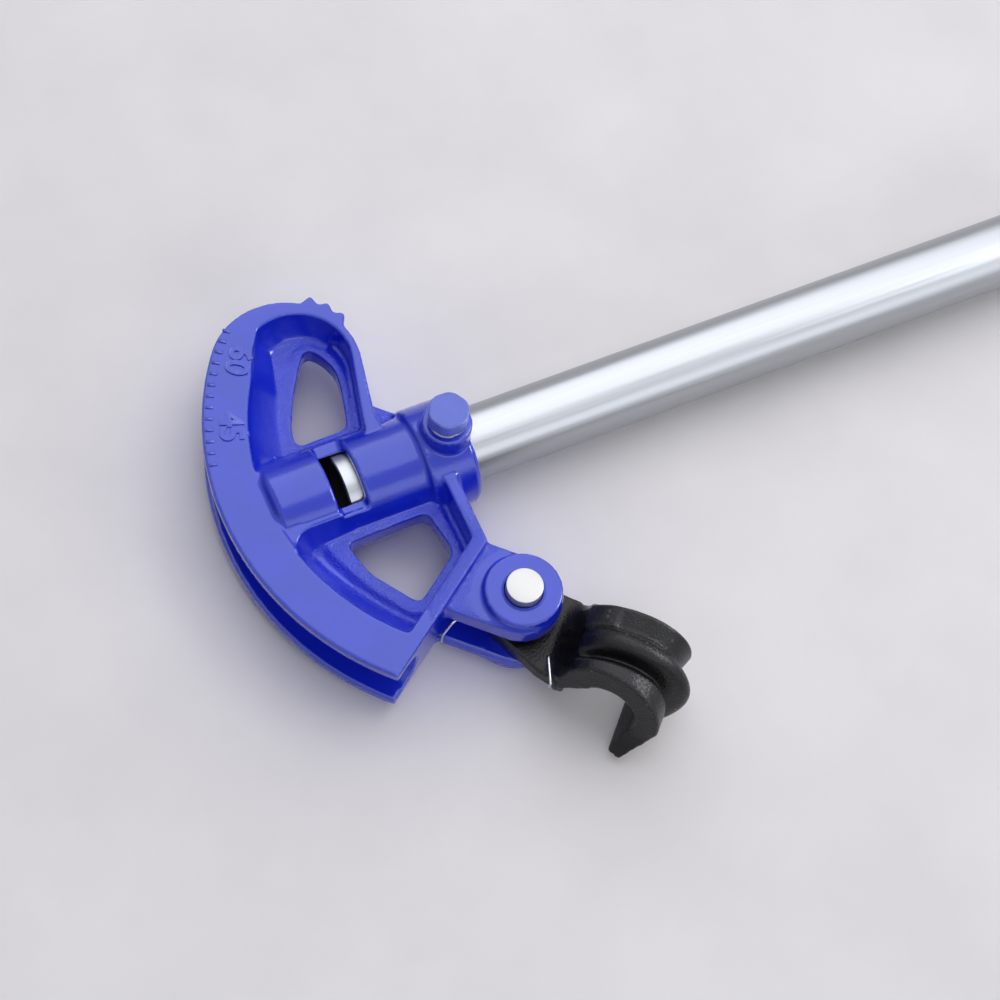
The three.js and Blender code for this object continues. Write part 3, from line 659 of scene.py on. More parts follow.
def plan_of(piece):
    """A piece's points as millimetres from the centre of the bend."""
    points = np.empty(len(piece.data.vertices) * 3)
    piece.data.vertices.foreach_get("co", points)
    return (points.reshape(-1, 3) - np.array(bend)) / MM


def put_back(piece, points):
    """Gives a piece its points again, from millimetres."""
    piece.data.vertices.foreach_set("co", (points * MM + np.array(bend)).ravel())
    piece.data.update()


# %% Upright rounds, and rounds about the handle
BOLT_AXIS = (-22.296, 0)
# Centre along and across the handle, radius, and how near a point has to lie
UPRIGHT_ROUNDS = [
    (0, 0, 106, 0.06), (0, 0, RIM_INNER, 0.09),
    (*LOBE, 27.3, 0.06), (*LOBE_POCKET, LOBE_POCKET_RADIUS, 0.09),
    (*PIVOT, 13.7, 0.1), (*PIVOT, 6.8, 0.1), (*PIVOT, 17.1, 0.12), (*PIVOT, 17.6, 0.12),
    (*BOLT_AXIS, 9, 0.1),
]
# Radius, and how near a point has to lie
BORE_RADIUS = 13.65
SOCKET_ROUNDS = [(18.05, 0.1), (20.05, 0.1), (BORE_RADIUS, 0.08)]
points = plan_of(shoe)
moved = 0
for x, y, radius, near in UPRIGHT_ROUNDS:
    across = points[:, :2] - (x, y)
    reach = np.hypot(across[:, 0], across[:, 1])
    close = np.abs(reach - radius) < near
    points[close, :2] = (x, y) + across[close] * (radius / reach[close])[:, None]
    moved += close.sum()
for radius, near in SOCKET_ROUNDS:
    reach = np.hypot(points[:, 1], points[:, 2])
    close = np.abs(reach - radius) < near
    points[close, 1:] *= (radius / reach[close])[:, None]
    moved += close.sum()
print("points moved onto true rounds:", moved)

# %% The sharp corner at the bottom of the bore
BORE_BOTTOM = -80.6
BORE_NEAR, BORE_CORNER = 0.1, 1.2
from_wall = BORE_RADIUS - np.hypot(points[:, 1], points[:, 2])
from_bottom = points[:, 0] - BORE_BOTTOM
nearer, further = np.minimum(from_wall, from_bottom), np.maximum(from_wall, from_bottom)
corner = (nearer > -BORE_NEAR) & (further < BORE_CORNER)
points[corner & (from_bottom < from_wall), 0] = BORE_BOTTOM
to_wall = corner & (from_bottom >= from_wall)
points[to_wall, 1:] *= (BORE_RADIUS / (BORE_RADIUS - from_wall[to_wall]))[:, None]
print("points moved into the corner:", corner.sum())

# %% The round of the groove
GROOVE_REACH, GROOVE_RADIUS, GROOVE_NEAR = 101.6, 9.3, 0.3
plan = np.hypot(points[:, 0], points[:, 1])
inward = plan - GROOVE_REACH
reach = np.hypot(inward, points[:, 2])
close = (np.abs(reach - GROOVE_RADIUS) < GROOVE_NEAR) & (inward < 0)
share = GROOVE_RADIUS / reach[close]
points[close, :2] *= ((GROOVE_REACH + inward[close] * share) / plan[close])[:, None]
points[close, 2] *= share
put_back(shoe, points)
print("points moved onto the groove:", close.sum())

# %% [markdown]
# The paint's material asks two attributes where the skin is grainy and where it is bare. They
# are worked out from the place of each point and the way that it faces: grainy are the level
# faces of the raised frames and of the ears round their bosses, and bare is the bore, which the
# paint makes near black: bare iron darkened with painted shade.

# %% Where the skin of the shoe is grainy, and where the bore is bare and darkened with painted shade
PAD_LOW, PAD_HIGH = 2.2, 4.6
EAR_LOW, EAR_HIGH, EAR_REACH, BOSS_EDGE = 11.2, 15.6, 34, 17.8
LEVEL_FROM, LEVEL_OVER = 0.35, 0.3
SHADED_BARE_BORE_REACH, SHADED_BARE_BORE_FROM, SHADED_BARE_BORE_TO = 14, -82, -16
normals = np.empty(len(points) * 3)
shoe.data.vertices.foreach_get("normal", normals)
upright = np.abs(normals.reshape(-1, 3)[:, 2])
level = np.clip((upright - LEVEL_FROM) / LEVEL_OVER, 0, 1)
height = np.abs(points[:, 2])
on_pad = (height > PAD_LOW) & (height < PAD_HIGH)
from_pin = np.hypot(points[:, 0] - PIVOT[0], points[:, 1] - PIVOT[1])
by_pin = (from_pin > BOSS_EDGE) & (from_pin < EAR_REACH)
inside_rim = np.hypot(points[:, 0], points[:, 1]) < RIM_INNER
on_ear = (height > EAR_LOW) & (height < EAR_HIGH) & by_pin & inside_rim
grain = shoe.data.attributes.new("grain", "FLOAT", "POINT")
grain.data.foreach_set("value", np.where(on_pad | on_ear, level, 0.0))
# The bare bore is also where the paint lays painted shade, near black.
bare = shoe.data.attributes.new("bare", "FLOAT", "POINT")
in_bore = np.hypot(points[:, 1], points[:, 2]) < SHADED_BARE_BORE_REACH
in_bore &= (points[:, 0] > SHADED_BARE_BORE_FROM) & (points[:, 0] < SHADED_BARE_BORE_TO)
bare.data.foreach_set("value", in_bore.astype(float))
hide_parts("bender_head")
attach(shoe, "head")
print("grainy points:", int((on_pad | on_ear).sum()), "bare points:", int(in_bore.sum()))

# %% [markdown]
# Turned parts and pipe are the same all the way round, so a profile of a few points, carried
# round an axis, describes each of them. The profile goes once round the wall of the piece, with
# small bevels where the real edges are broken.

# %% A helper for turned pieces
SIDES = 128
SHARP_FROM = 30


def turned(name, profile, axis, centre, material, closed=False):
    """A turned mesh from pairs of millimetres: how far along the axis, and how far from it."""
    shape = bmesh.new()
    rings = []
    for along, radius in profile:
        corners = []
        for i in range(SIDES if radius > 0 else 1):
            angle = 2 * math.pi * i / SIDES
            spot = (along, radius * math.cos(angle), radius * math.sin(angle))
            if axis == "Z":
                spot = (spot[1], spot[2], along)
            corners.append(shape.verts.new(centre + Vector(spot) * MM))
        rings.append(corners)
    pairs = list(zip(rings, rings[1:] + rings[:1])) if closed else list(zip(rings, rings[1:]))
    for first, second in pairs:
        for i in range(SIDES):
            around = (first, i), (first, i + 1), (second, i + 1), (second, i)
            face = [ring[k % len(ring)] for ring, k in around]
            shape.faces.new(list(dict.fromkeys(face)))
    bmesh.ops.recalc_face_normals(shape, faces=shape.faces)
    mesh = bpy.data.meshes.new(name)
    shape.to_mesh(mesh)
    shape.free()
    mesh.materials.append(material)
    mesh.shade_smooth()
    mesh.set_sharp_from_angle(angle=math.radians(SHARP_FROM))
    piece = bpy.data.objects.new(name, mesh)
    collection.objects.link(piece)
    return piece


# %% [markdown]
# The handle is a length of pipe, so its profile is a closed loop round the wall: the outside,
# the end, the bore and the other end. Its end is seen in the shoe's notch. The faces of the bore
# get the bare iron, darkened with painted shade.

# %% The tube handle
HANDLE_RADIUS, HANDLE_WALL, HANDLE_LENGTH = 13.35, 2.87, 965
HANDLE_END = HANDLE_START + HANDLE_LENGTH
BREAK = 0.4
inner = HANDLE_RADIUS - HANDLE_WALL
handle = turned("steel_tube", [
    (HANDLE_START, inner + BREAK), (HANDLE_START, HANDLE_RADIUS - BREAK),
    (HANDLE_START + BREAK, HANDLE_RADIUS), (HANDLE_END - BREAK, HANDLE_RADIUS),
    (HANDLE_END, HANDLE_RADIUS - BREAK), (HANDLE_END, inner + BREAK),
    (HANDLE_END - BREAK, inner), (HANDLE_START + BREAK, inner),
], "X", bend, zinc, closed=True)
handle.data.materials.append(bare_iron_painted_dark)
for face in handle.data.polygons:
    furthest = max((handle.data.vertices[i].co - bend).yz.length for i in face.vertices)
    if furthest < (inner + BREAK / 2) * MM:
        face.material_index = 1
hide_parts("handle_tube")
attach(handle, "handle")
print("handle runs from", HANDLE_START, "to", HANDLE_END, "mm")

# %% [markdown]
# The far end of the handle has a moulded plug: a hollow stem inside the pipe and a flange with a
# shallow dimple outside it. It is turned too, from an open profile that starts and ends on the
# axis.

# %% The plug
SEAT = HANDLE_END + 0.3
STEM, STEM_RADIUS, STEM_WALL = 22, 10.18, 2.2
FLANGE, FLANGE_RADIUS = 3, 14.05
DIMPLE, DIMPLE_RADIUS = 0.4, 8.5
STEM_END, FLANGE_END = SEAT - STEM, SEAT + FLANGE
plug = turned("handle_plug", [
    (SEAT, 0), (SEAT, STEM_RADIUS - STEM_WALL), (STEM_END, STEM_RADIUS - STEM_WALL),
    (STEM_END, STEM_RADIUS - BREAK), (STEM_END + BREAK, STEM_RADIUS), (SEAT, STEM_RADIUS),
    (SEAT, FLANGE_RADIUS), (SEAT + 1.6, FLANGE_RADIUS), (SEAT + 2.5, FLANGE_RADIUS - 0.35),
    (FLANGE_END, FLANGE_RADIUS - 1.2), (FLANGE_END, DIMPLE_RADIUS),
    (FLANGE_END - DIMPLE, DIMPLE_RADIUS - 0.5), (FLANGE_END - DIMPLE, 0),
], "X", bend, black_plastic)
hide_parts("handle_end_cap")
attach(plug, "handle")
print("plug reaches", round(FLANGE_END - HANDLE_END, 2), "mm past the handle")

# %% [markdown]
# The hook swings on a turned steel pin with a small bevel round its top. A ring of spring wire
# in a groove near its lower end keeps it in. The pin is a profile, and the ring is the packed
# solid with its edges rounded by the tree.

# %% The pin and its ring
PIN_TOP, PIN_BOTTOM, PIN_RADIUS, WAIST = 18.6, -20.2, 6.5, 5.6
RING_TOP, RING_BOTTOM = -17.4, -19.2
pin = turned("hook_pin", [
    (PIN_BOTTOM, 0), (PIN_BOTTOM, PIN_RADIUS - 0.3), (PIN_BOTTOM + 0.3, PIN_RADIUS),
    (RING_BOTTOM, PIN_RADIUS), (RING_BOTTOM, WAIST), (RING_TOP, WAIST), (RING_TOP, PIN_RADIUS),
    (PIN_TOP - 0.45, PIN_RADIUS), (PIN_TOP - 0.12, PIN_RADIUS - 0.14),
    (PIN_TOP, PIN_RADIUS - 0.5), (PIN_TOP, 0),
], "Z", at(*PIVOT, 0), turned_steel)
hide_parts("pivot_pin")
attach(pin, "head")

ring = softened(
    "pin_ring", copied("pin_retaining_ring"), wire_steel,
    voxel=0.15, fillet=0.05, rounding=0.25, keep=0.5,
)
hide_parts("pin_retaining_ring")
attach(ring, "head")
print("pin is", PIN_TOP - PIN_BOTTOM, "mm long")

# %% [markdown]
# The bolt that clamps the handle has a forged hexagon head, painted with the shoe, so its
# corners are round and its top has a soft shoulder. It is built up in layers of outlines with
# the same number of points, from a round shank to the hexagon, and each layer is joined to the
# next. Its skin is a little grainy all over.

# %% The clamp bolt
HEAD_LOW, HEAD_TOP, ACROSS_FLATS, SHANK_LOW, SHANK_RADIUS = 28.05, 34.35, 14, 13.65, 3.97
CORNER_ROUND, HALF_CORNER, CORNER_STEP = 5, 4, math.pi / 24
OUTLINE_POINTS = 6 * (2 * HALF_CORNER + 1)
LOW_BEVEL = 0.3
SHOULDER, SHOULDER_STEPS, TOP_FACE = 0.8, 4, 0.93
FORGED_SKIN = 0.5
BOLT_SHARP_FROM = 50


def rounded_hexagon(inset):
    """A hexagon with rounded corners, drawn in by an inset, in millimetres from its axis."""
    spots = []
    reach = (ACROSS_FLATS / 2 - inset - CORNER_ROUND) / math.cos(math.pi / 6)
    for k in range(6):
        middle = math.radians(60 * k)
        for i in range(-HALF_CORNER, HALF_CORNER + 1):
            angle = middle + i * CORNER_STEP
            spots.append(Vector((
                reach * math.cos(middle) + CORNER_ROUND * math.cos(angle),
                reach * math.sin(middle) + CORNER_ROUND * math.sin(angle),
            )))
    return spots


def round_outline(radius):
    """A circle with as many points as the hexagon, each in line with one of them."""
    angles = [360 * (i + 0.5) / OUTLINE_POINTS - 30 for i in range(OUTLINE_POINTS)]
    return [Vector((radius, 0)) @ Matrix.Rotation(-math.radians(a), 2) for a in angles]


layers = [(SHANK_LOW, round_outline(SHANK_RADIUS)), (HEAD_LOW, round_outline(SHANK_RADIUS))]
layers += [(HEAD_LOW, rounded_hexagon(LOW_BEVEL)), (HEAD_LOW + LOW_BEVEL, rounded_hexagon(0))]
for i in range(SHOULDER_STEPS + 1):
    angle = math.pi / 2 * i / SHOULDER_STEPS
    rise, inset = SHOULDER * (1 - math.sin(angle)), SHOULDER * (1 - math.cos(angle))
    layers.append((HEAD_TOP - rise, rounded_hexagon(inset)))
layers.append((HEAD_TOP, [spot * TOP_FACE for spot in rounded_hexagon(SHOULDER)]))
shape = bmesh.new()
rings = []
for z, outline in layers:
    rings.append([shape.verts.new(at(BOLT_AXIS[0] + p.x, BOLT_AXIS[1] + p.y, z)) for p in outline])
for first, second in zip(rings, rings[1:]):
    for i in range(OUTLINE_POINTS):
        j = (i + 1) % OUTLINE_POINTS
        shape.faces.new((first[i], first[j], second[j], second[i]))
shape.faces.new(rings[0])
shape.faces.new(rings[-1])
bmesh.ops.recalc_face_normals(shape, faces=shape.faces)
bolt_mesh = bpy.data.meshes.new("hexagon_bolt")
shape.to_mesh(bolt_mesh)
shape.free()
bolt_mesh.materials.append(bolt_paint)
bolt_mesh.shade_smooth()
bolt_mesh.set_sharp_from_angle(angle=math.radians(BOLT_SHARP_FROM))
forged = bolt_mesh.attributes.new("grain", "FLOAT", "POINT")
forged.data.foreach_set("value", [FORGED_SKIN] * len(bolt_mesh.vertices))
bolt = bpy.data.objects.new("hexagon_bolt", bolt_mesh)
collection.objects.link(bolt)
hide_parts("clamp_bolt")
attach(bolt, "bolt")
print("the bolt's head is", round(HEAD_TOP - HEAD_LOW, 2), "mm high")

# %% [markdown]
# The split ring under the bolt's head was painted with it, but the paint has come off on the
# side towards the shoe's tip, and the zinc shows there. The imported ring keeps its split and
# gets rounded edges, and each face takes paint or zinc by the way that it looks from the bolt's
# axis.

# %% The split washer
BARE_WAY, BARE_SHARE = (-0.62, -0.785), 0.86
washer = softened(
    "split_washer", copied("clamp_lock_washer"), dull_zinc,
    voxel=0.15, fillet=0.05, rounding=0.3, keep=0.5,
)
washer.data.materials.append(bolt_paint)
for face in washer.data.polygons:
    outward = (face.center - at(*BOLT_AXIS, 0)).to_2d().normalized()
    face.material_index = 0 if outward.dot(Vector(BARE_WAY)) > BARE_SHARE else 1
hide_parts("clamp_lock_washer")
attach(washer, "washer")
print("bare faces of the washer:", sum(face.material_index == 0 for face in washer.data.polygons))

# %% [markdown]
# The hook is cast as well: a flat lug on the pin, and a band that curls round the conduit with a
# rib over its middle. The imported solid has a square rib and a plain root. On the real hook the
# lug flows into the band in a saddle, and the rib is round and swells at its crown. So the
# points of the square rib are drawn in under the band's skin, and two lofted bodies take their
# place. The distance field joins all three.

# %% The hook's own directions, and a body through sections
ACROSS_BAND = Vector((0.711, -0.703, 0)).normalized()
ALONG_BAND = Vector((0.703, 0.711, 0)).normalized()
BAND_AXIS = 40.7
BAND_RADIUS = 19.2


def on_band(u, v, z):
    """A point in millimetres across and along the band's axis and above it."""
    return at(*PIVOT, z) + (ACROSS_BAND * (BAND_AXIS + u) + ALONG_BAND * v) * MM


def band_frame(points):
    """Millimetre points from the centre of the bend as across, along and above the band's axis."""
    from_pin = points - np.array((*PIVOT, 0))
    across = from_pin @ np.array(ACROSS_BAND) - BAND_AXIS
    return across, from_pin @ np.array(ALONG_BAND), from_pin[:, 2]


def loft(shape, sections):
    """A closed body through sections that have the same number of points."""
    rings = [[shape.verts.new(spot) for spot in section] for section in sections]
    faces = [shape.faces.new(rings[0]), shape.faces.new(rings[-1])]
    for first, second in zip(rings, rings[1:]):
        for i in range(len(first)):
            j = (i + 1) % len(first)
            faces.append(shape.faces.new((first[i], first[j], second[j], second[i])))
    bmesh.ops.recalc_face_normals(shape, faces=faces)


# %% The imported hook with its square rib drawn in
RIB_MIDDLE, RIB_HALF = -7.6, 4.4
SQUARE_OUTSIDE, SQUARE_FOOT, SQUARE_SIDE, SQUARE_INSET = 0.4, -14.5, -19, 0.6
SQUARE_NEAR, SQUARE_FAR = RIB_MIDDLE - 4.6, RIB_MIDDLE + 4.3
body = bmesh.new()
body.from_mesh(copied("hook"))
drawn_in = 0
for vertex in body.verts:
    u, v, z = (value[0] for value in band_frame(np.array([(vertex.co - bend) / MM])))
    reach = math.hypot(u, z)
    outside = reach > BAND_RADIUS + SQUARE_OUTSIDE and SQUARE_NEAR < v < SQUARE_FAR
    if outside and z > SQUARE_FOOT and u > SQUARE_SIDE:
        share = (BAND_RADIUS - SQUARE_INSET) / reach
        vertex.co = on_band(u * share, v, z * share)
        drawn_in += 1
print("points of the square rib drawn in:", drawn_in)

# %% The saddle between the lug and the band
# Each cut: where it lies along the band (none: on the skewed near face), the radius and the
# shift of its round part, and how high it reaches
FREE = 99
SADDLE_CUTS = (
    (None, 18.9, 0, FREE), (-14, 19.2, 0, FREE), (-4.2, 19.2, 0, FREE), (-3, 20.9, 0.8, FREE),
    (5.1, 20.9, 0.8, FREE), (7.4, 19.5, 0, 8), (9.4, 19, 0, 1),
)
SADDLE_ARC = (112, 121, 130, 139, 149)
SADDLE_PULL, SADDLE_FOOT, SADDLE_STEPS = Vector((-18.6, -0.6)), Vector((-26, -1.9)), 8
SADDLE_UNDER = [Vector((-16, -2.4)), Vector((-14.5, 3))]
SADDLE_SIDE = -14.5
LUG_SIDE, LUG_NEAR = -20.5, -19.3
NEAR_FACE, NEAR_FACE_AT, NEAR_SKEW, NEAR_SLANT = -21.6, -18.7, -0.149, 0.2126


def near_face(spot):
    """How far along the band the hook's skewed and slanting near face is."""
    return NEAR_FACE + NEAR_SKEW * (spot.x - NEAR_FACE_AT) + NEAR_SLANT * max(spot.y, 0)


saddle = []
for v, radius, shift, top in SADDLE_CUTS:
    angles = [math.radians(degrees) for degrees in SADDLE_ARC]
    arc = [Vector((shift, 0)) + Vector((math.cos(a), math.sin(a))) * radius for a in angles]
    side = SADDLE_SIDE if top < FREE else FREE
    cut = [Vector((min(spot.x, side), min(spot.y, top))) for spot in arc]
    start = Vector((arc[-1].x, min(arc[-1].y, top)))
    for i in range(1, SADDLE_STEPS + 1):
        share = i / SADDLE_STEPS
        pulled = start * (1 - share) ** 2 + SADDLE_PULL * 2 * share * (1 - share)
        cut.append(pulled + SADDLE_FOOT * share ** 2)
    cut += SADDLE_UNDER
    section = []
    for spot in cut:
        nearest = LUG_NEAR if spot.x < LUG_SIDE else -FREE
        section.append(on_band(spot.x, max(v or near_face(spot), nearest), spot.y))
    saddle.append(section)
loft(body, saddle)
print("cuts through the saddle:", len(saddle))

# %% The round rib
# Angles round the band in degrees: where the rib starts and ends, and where it rises and fades
RIB_FROM, RIB_TO, RIB_STEP, RIB_RISE, RIB_FADE, RIB_GONE = 138, -45, -4, 50, 22, -50
RIB_CREST, RIB_BULGE, BULGE_AT, BULGE_OVER = 22.9, 2.4, 4, 30
RIB_SWEEP, SWEEP_FROM, SWEEP_OVER = 6, 50, 80
RIB_ROOT, RIB_SPRING, RIB_ARC = 5, 1, 12


def rib_swept(degrees):
    """How far the rib leans towards the near face, by the angle round the band."""
    return RIB_SWEEP * (np.maximum(0, SWEEP_FROM - degrees) / SWEEP_OVER) ** 1.5


round_rib = []
for degrees in range(RIB_FROM, RIB_TO, RIB_STEP):
    rise = min(1, (RIB_FROM - degrees) / RIB_RISE, (degrees - RIB_GONE) / RIB_FADE)
    bulge = RIB_BULGE * math.exp(-((degrees - BULGE_AT) / BULGE_OVER) ** 2)
    crest = BAND_RADIUS + (RIB_CREST + bulge - BAND_RADIUS) * math.sin(rise * math.pi / 2)
    middle = RIB_MIDDLE - float(rib_swept(degrees))
    root = BAND_RADIUS - RIB_ROOT
    section = [(middle + RIB_HALF, root), (middle - RIB_HALF, root)]
    spring = BAND_RADIUS - RIB_SPRING
    for i in range(RIB_ARC + 1):
        angle = math.pi * (1 - i / RIB_ARC)
        reach = spring + (crest - BAND_RADIUS + RIB_SPRING) * math.sin(angle)
        section.append((middle + RIB_HALF * math.cos(angle), reach))
    way = math.radians(degrees)
    over, up = math.cos(way), math.sin(way)
    round_rib.append([on_band(reach * over, v, reach * up) for v, reach in section])
loft(body, round_rib)
hook_mesh = bpy.data.meshes.new("hook_with_saddle")
body.to_mesh(hook_mesh)
body.free()
print("faces of the hook's bodies:", len(hook_mesh.polygons))

# %% [markdown]
# The hook gets the same treatment as the shoe, with a finer field, because its forms are
# smaller. A groove on each side of the rib is then pressed into the finished mesh: points near
# its middle move towards the band's axis, and the depth fades out like a bell. That keeps the
# skin whole, where a cut would need new corners to be rounded.

# %% The cast hook, with a groove pressed in on each side of its rib
# Each groove: its middle along the band, half its width and its depth
GROOVES = ((-13.1, 1.6, 3), (-3.3, 0.6, 0.8))
# Where the grooves start and over how much they deepen: from the axis, across the band, upwards
FADES = ((15, 2.5), (-19, 5), (-14, 6))
hook = softened("cast_hook", hook_mesh, black_coat, voxel=0.35, fillet=1.3, rounding=0.6, keep=0.8)
points = plan_of(hook)
u, v, z = band_frame(points)
reach = np.hypot(u, z)
outer = 1
for value, (first, over) in zip((reach, u, z), FADES):
    outer = outer * np.clip((value - first) / over, 0, 1)
along = v + rib_swept(np.degrees(np.arctan2(z, u)))
for middle, half, depth in GROOVES:
    press = depth * np.exp(-(((along - middle) / half) ** 2)) * outer / np.maximum(reach, 1)
    points -= (np.outer(u * press, ACROSS_BAND) + np.outer(z * press, (0, 0, 1)))
put_back(hook, points)
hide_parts("hook")
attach(hook, "hook")
print("deepest groove:", max(depth for middle, half, depth in GROOVES), "mm")

# %% [markdown]
# A thin wire spring opens the hook. It has two turns and a bit round the pin, a leg over the
# edge of the lower ear and a leg over the edge of the hook. The wire follows a path, which is
# what Geometry Nodes is good at: a chain of points becomes a curve, its corners are rounded, and
# a circle runs along it.

# %% A tree that runs a wire along points
WIRE_SIDES, CORNER_POINTS = 12, 5
wire_tree, inputs = new_geometry_tree("wire_along_points", {
    "Wire radius": "Float", "Corner radius": "Float", "Material": "Material",
})
curve = add(wire_tree, "GeometryNodeMeshToCurve", {"Mesh": inputs["Geometry"]}).outputs[0]
curve = add(wire_tree, "GeometryNodeFilletCurve", {
    "Curve": curve, "Radius": inputs["Corner radius"], "Limit Radius": True, "Count": CORNER_POINTS,
}, mode="POLY").outputs[0]
section = add(wire_tree, "GeometryNodeCurvePrimitiveCircle", {
    "Resolution": WIRE_SIDES, "Radius": inputs["Wire radius"],
}).outputs[0]
tube = add(wire_tree, "GeometryNodeCurveToMesh", {
    "Curve": curve, "Profile Curve": section, "Fill Caps": True,
}).outputs[0]
end_tree(wire_tree, inputs, tube)
print("inputs of the tree:", [item.name for item in wire_tree.interface.items_tree])

# %% [markdown]
# The coil twists when the hook swings, so it is a piece of its own, attached to neither body,
# and each leg rides with the body that it presses on. The legs leave the coil where a
# straight line to their ends touches it. The leg on the ear stays level until it is close to
# its end and then turns down, because the closed hook and the other leg pass close by it.

# %% The path of the spring, counted from the pin
WIRE = 1.0
COIL_RADIUS, COIL_PITCH, WHOLE_TURNS, PER_TURN = 8.7, 1.4, 2, 36
COIL_LOW = -0.85
CLOSES_BY = 89
HOOK_END, EAR_END = Vector((19.8, -22.55)), Vector((18.7, -21.5))
HOOK_ANGLE = TIP_ANGLE + math.radians(CLOSES_BY)
HOOK_LEG_DOWN, EAR_LEG_MIDDLE, EAR_LEG_LOW = 4.4, -3.1, -10.9
# The leg on the hook runs level where it shows, and then dips under the coil
LEG_SEEN, DIP, DIP_OVER, DIP_TO = 9.5, 1.6, 1.5, 6
LEVEL_SHARE = 0.86
HOOK_LEG_CORNER, EAR_LEG_CORNER = 0.9, 1.4


def turned_plan(point, angle):
    """A level point turned about the pin."""
    cosine, sine = math.cos(angle), math.sin(angle)
    return Vector((point.x * cosine - point.y * sine, point.x * sine + point.y * cosine))


def leaves_coil(point, side):
    """The angle at which a straight leg to a point touches the coil."""
    return math.atan2(point.y, point.x) + side * math.acos(COIL_RADIUS / point.length)


hook_end = turned_plan(HOOK_END, HOOK_ANGLE)
ear_end = turned_plan(EAR_END, TIP_ANGLE)
start = leaves_coil(hook_end, 1)
swept = WHOLE_TURNS * 2 * math.pi + (leaves_coil(ear_end, -1) - start) % (2 * math.pi)
steps = round(swept / (2 * math.pi) * PER_TURN)
coil = []
for i in range(steps + 1):
    angle = start + swept * i / steps
    height = COIL_LOW + COIL_PITCH * swept * i / steps / (2 * math.pi)
    coil.append((COIL_RADIUS * math.cos(angle), COIL_RADIUS * math.sin(angle), height))
coil_top = coil[-1][2]
back = (Vector(coil[0][:2]) - hook_end).normalized()
hook_leg = [
    (*hook_end, COIL_LOW - HOOK_LEG_DOWN), (*hook_end, COIL_LOW),
    (*(hook_end + back * LEG_SEEN), COIL_LOW),
    (*(hook_end + back * (LEG_SEEN + DIP_OVER)), COIL_LOW - DIP),
    (*(hook_end + back * (LEG_SEEN + DIP_TO)), COIL_LOW - DIP), coil[0],
]
level_end = Vector(coil[-1][:2]).lerp(ear_end, LEVEL_SHARE)
ear_leg = [
    coil[-1], (*level_end, coil_top), (*ear_end, EAR_LEG_MIDDLE), (*ear_end, EAR_LEG_LOW),
]
print("spring turns:", round(swept / (2 * math.pi), 2))

# %% The coil and the two legs


def wire_piece(name, path, corner):
    """A length of spring wire along points counted from the pin."""
    mesh = bpy.data.meshes.new(name)
    spots = [at(PIVOT[0] + x, PIVOT[1] + y, z) for x, y, z in path]
    mesh.from_pydata(spots, [(i, i + 1) for i in range(len(path) - 1)], [])
    piece = grown(name, wire_tree, mesh, **{
        "Wire radius": WIRE / 2 * MM, "Corner radius": corner * MM, "Material": wire_steel,
    })
    return piece


coil_piece = wire_piece("spring_coil", coil, 0)
leg_on_hook = wire_piece("spring_leg_on_hook", hook_leg, HOOK_LEG_CORNER)
leg_on_ear = wire_piece("spring_leg_on_ear", ear_leg, EAR_LEG_CORNER)
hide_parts("hook_spring")
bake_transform(coil_piece)
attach(leg_on_hook, "hook")
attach(leg_on_ear, "head")

# %% [markdown]
# Benders carry a degree scale on the flange, cast with the shoe and painted over. A row of
# ticks follows the rim. They repeat along an arc, so Geometry Nodes sets a small bar at each
# step of the arc and turns it outwards.

# %% The ticks of the degree scale
FLANGE_TOP = 14.2
RAISED, SUNK = 0.45, 0.02
TICK_RADIUS, TICK_FROM, TICK_SWEEP, TICK_COUNT = 103.4, 139, 30, 13
TICK_LENGTH, TICK_WIDTH = 2.8, 0.9
tick_tree, inputs = new_geometry_tree("ticks_on_arc", {
    "Arc radius": "Float", "First angle": "Float", "Swept angle": "Float", "Ticks": "Int",
    "Tick size": "Vector", "Material": "Material",
})
arc = add(tick_tree, "GeometryNodeCurveArc", {
    "Resolution": inputs["Ticks"], "Radius": inputs["Arc radius"],
    "Start Angle": inputs["First angle"], "Sweep Angle": inputs["Swept angle"],
}).outputs[0]
spots = add(tick_tree, "GeometryNodeCurveToPoints", {"Curve": arc, "Count": inputs["Ticks"]})
place = add(tick_tree, "GeometryNodeInputPosition").outputs[0]
outward = add(tick_tree, "FunctionNodeAlignRotationToVector", {"Vector": place}, axis="X").outputs[0]
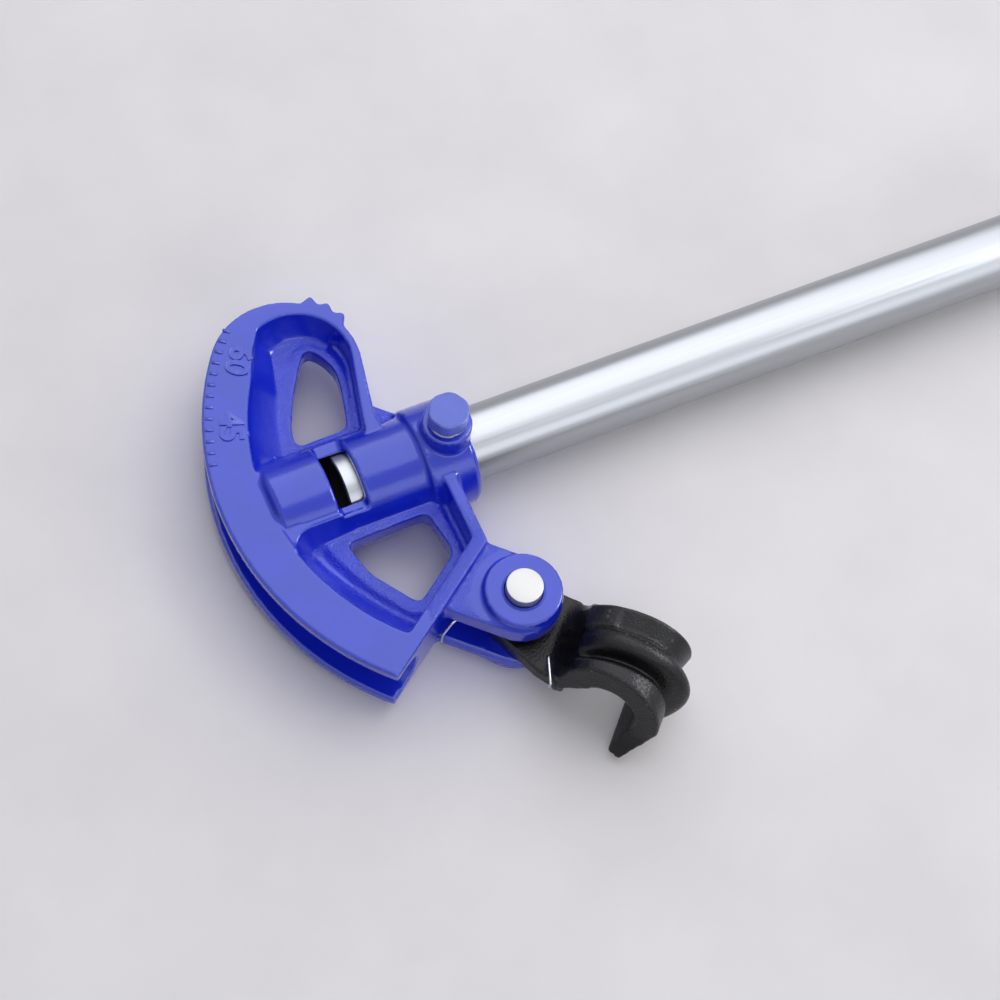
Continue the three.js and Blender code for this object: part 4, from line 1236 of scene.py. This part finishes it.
bar = add(tick_tree, "GeometryNodeMeshCube", {"Size": inputs["Tick size"]}).outputs[0]
ticks_on = add(tick_tree, "GeometryNodeInstanceOnPoints", {
    "Points": spots.outputs["Points"], "Instance": bar, "Rotation": outward,
}).outputs[0]
end_tree(tick_tree, inputs, ticks_on)
ticks = grown("degree_ticks", tick_tree, bpy.data.meshes.new("ticks"), **{
    "Arc radius": TICK_RADIUS * MM, "First angle": math.radians(TICK_FROM),
    "Swept angle": math.radians(TICK_SWEEP), "Ticks": TICK_COUNT,
    "Tick size": (TICK_LENGTH * MM, TICK_WIDTH * MM, RAISED * MM), "Material": shoe_paint,
})
ticks.data.transform(Matrix.Translation(at(0, 0, FLANGE_TOP + RAISED / 2 - SUNK)))
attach(ticks, "head")

# %% [markdown]
# Two numerals stand inside the row. They are text with a small bevel, made into a mesh and laid
# on the flange with their feet towards the rim.

# %% The numerals
NUMERALS = {"60": 145, "45": 161}
NUMERAL_RADIUS, NUMERAL_SIZE = 96.0, 11.5
NUMERAL_BEVEL, NUMERAL_FATTER = 0.12, 0.3
for word, angle in NUMERALS.items():
    text = bpy.data.curves.new("numeral_" + word, "FONT")
    text.body = word
    text.size = NUMERAL_SIZE * MM
    text.extrude = RAISED / 2 * MM
    text.bevel_depth = NUMERAL_BEVEL * MM
    text.offset = NUMERAL_FATTER * MM
    text.align_x = text.align_y = "CENTER"
    made = bpy.data.objects.new("text", text)
    collection.objects.link(made)
    evaluated = made.evaluated_get(bpy.context.evaluated_depsgraph_get())
    mesh = bpy.data.meshes.new_from_object(evaluated)
    bpy.data.objects.remove(made)
    x, y = (NUMERAL_RADIUS * f(math.radians(angle)) for f in (math.cos, math.sin))
    turned_upright = Matrix.Rotation(math.radians(angle + 90), 4, "Z")
    mesh.transform(Matrix.Translation(at(x, y, FLANGE_TOP + RAISED / 2)) @ turned_upright)
    mesh.materials.clear()
    mesh.materials.append(shoe_paint)
    numeral = bpy.data.objects.new("numeral_" + word, mesh)
    collection.objects.link(numeral)
    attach(numeral, "head")
print("numerals:", list(NUMERALS))
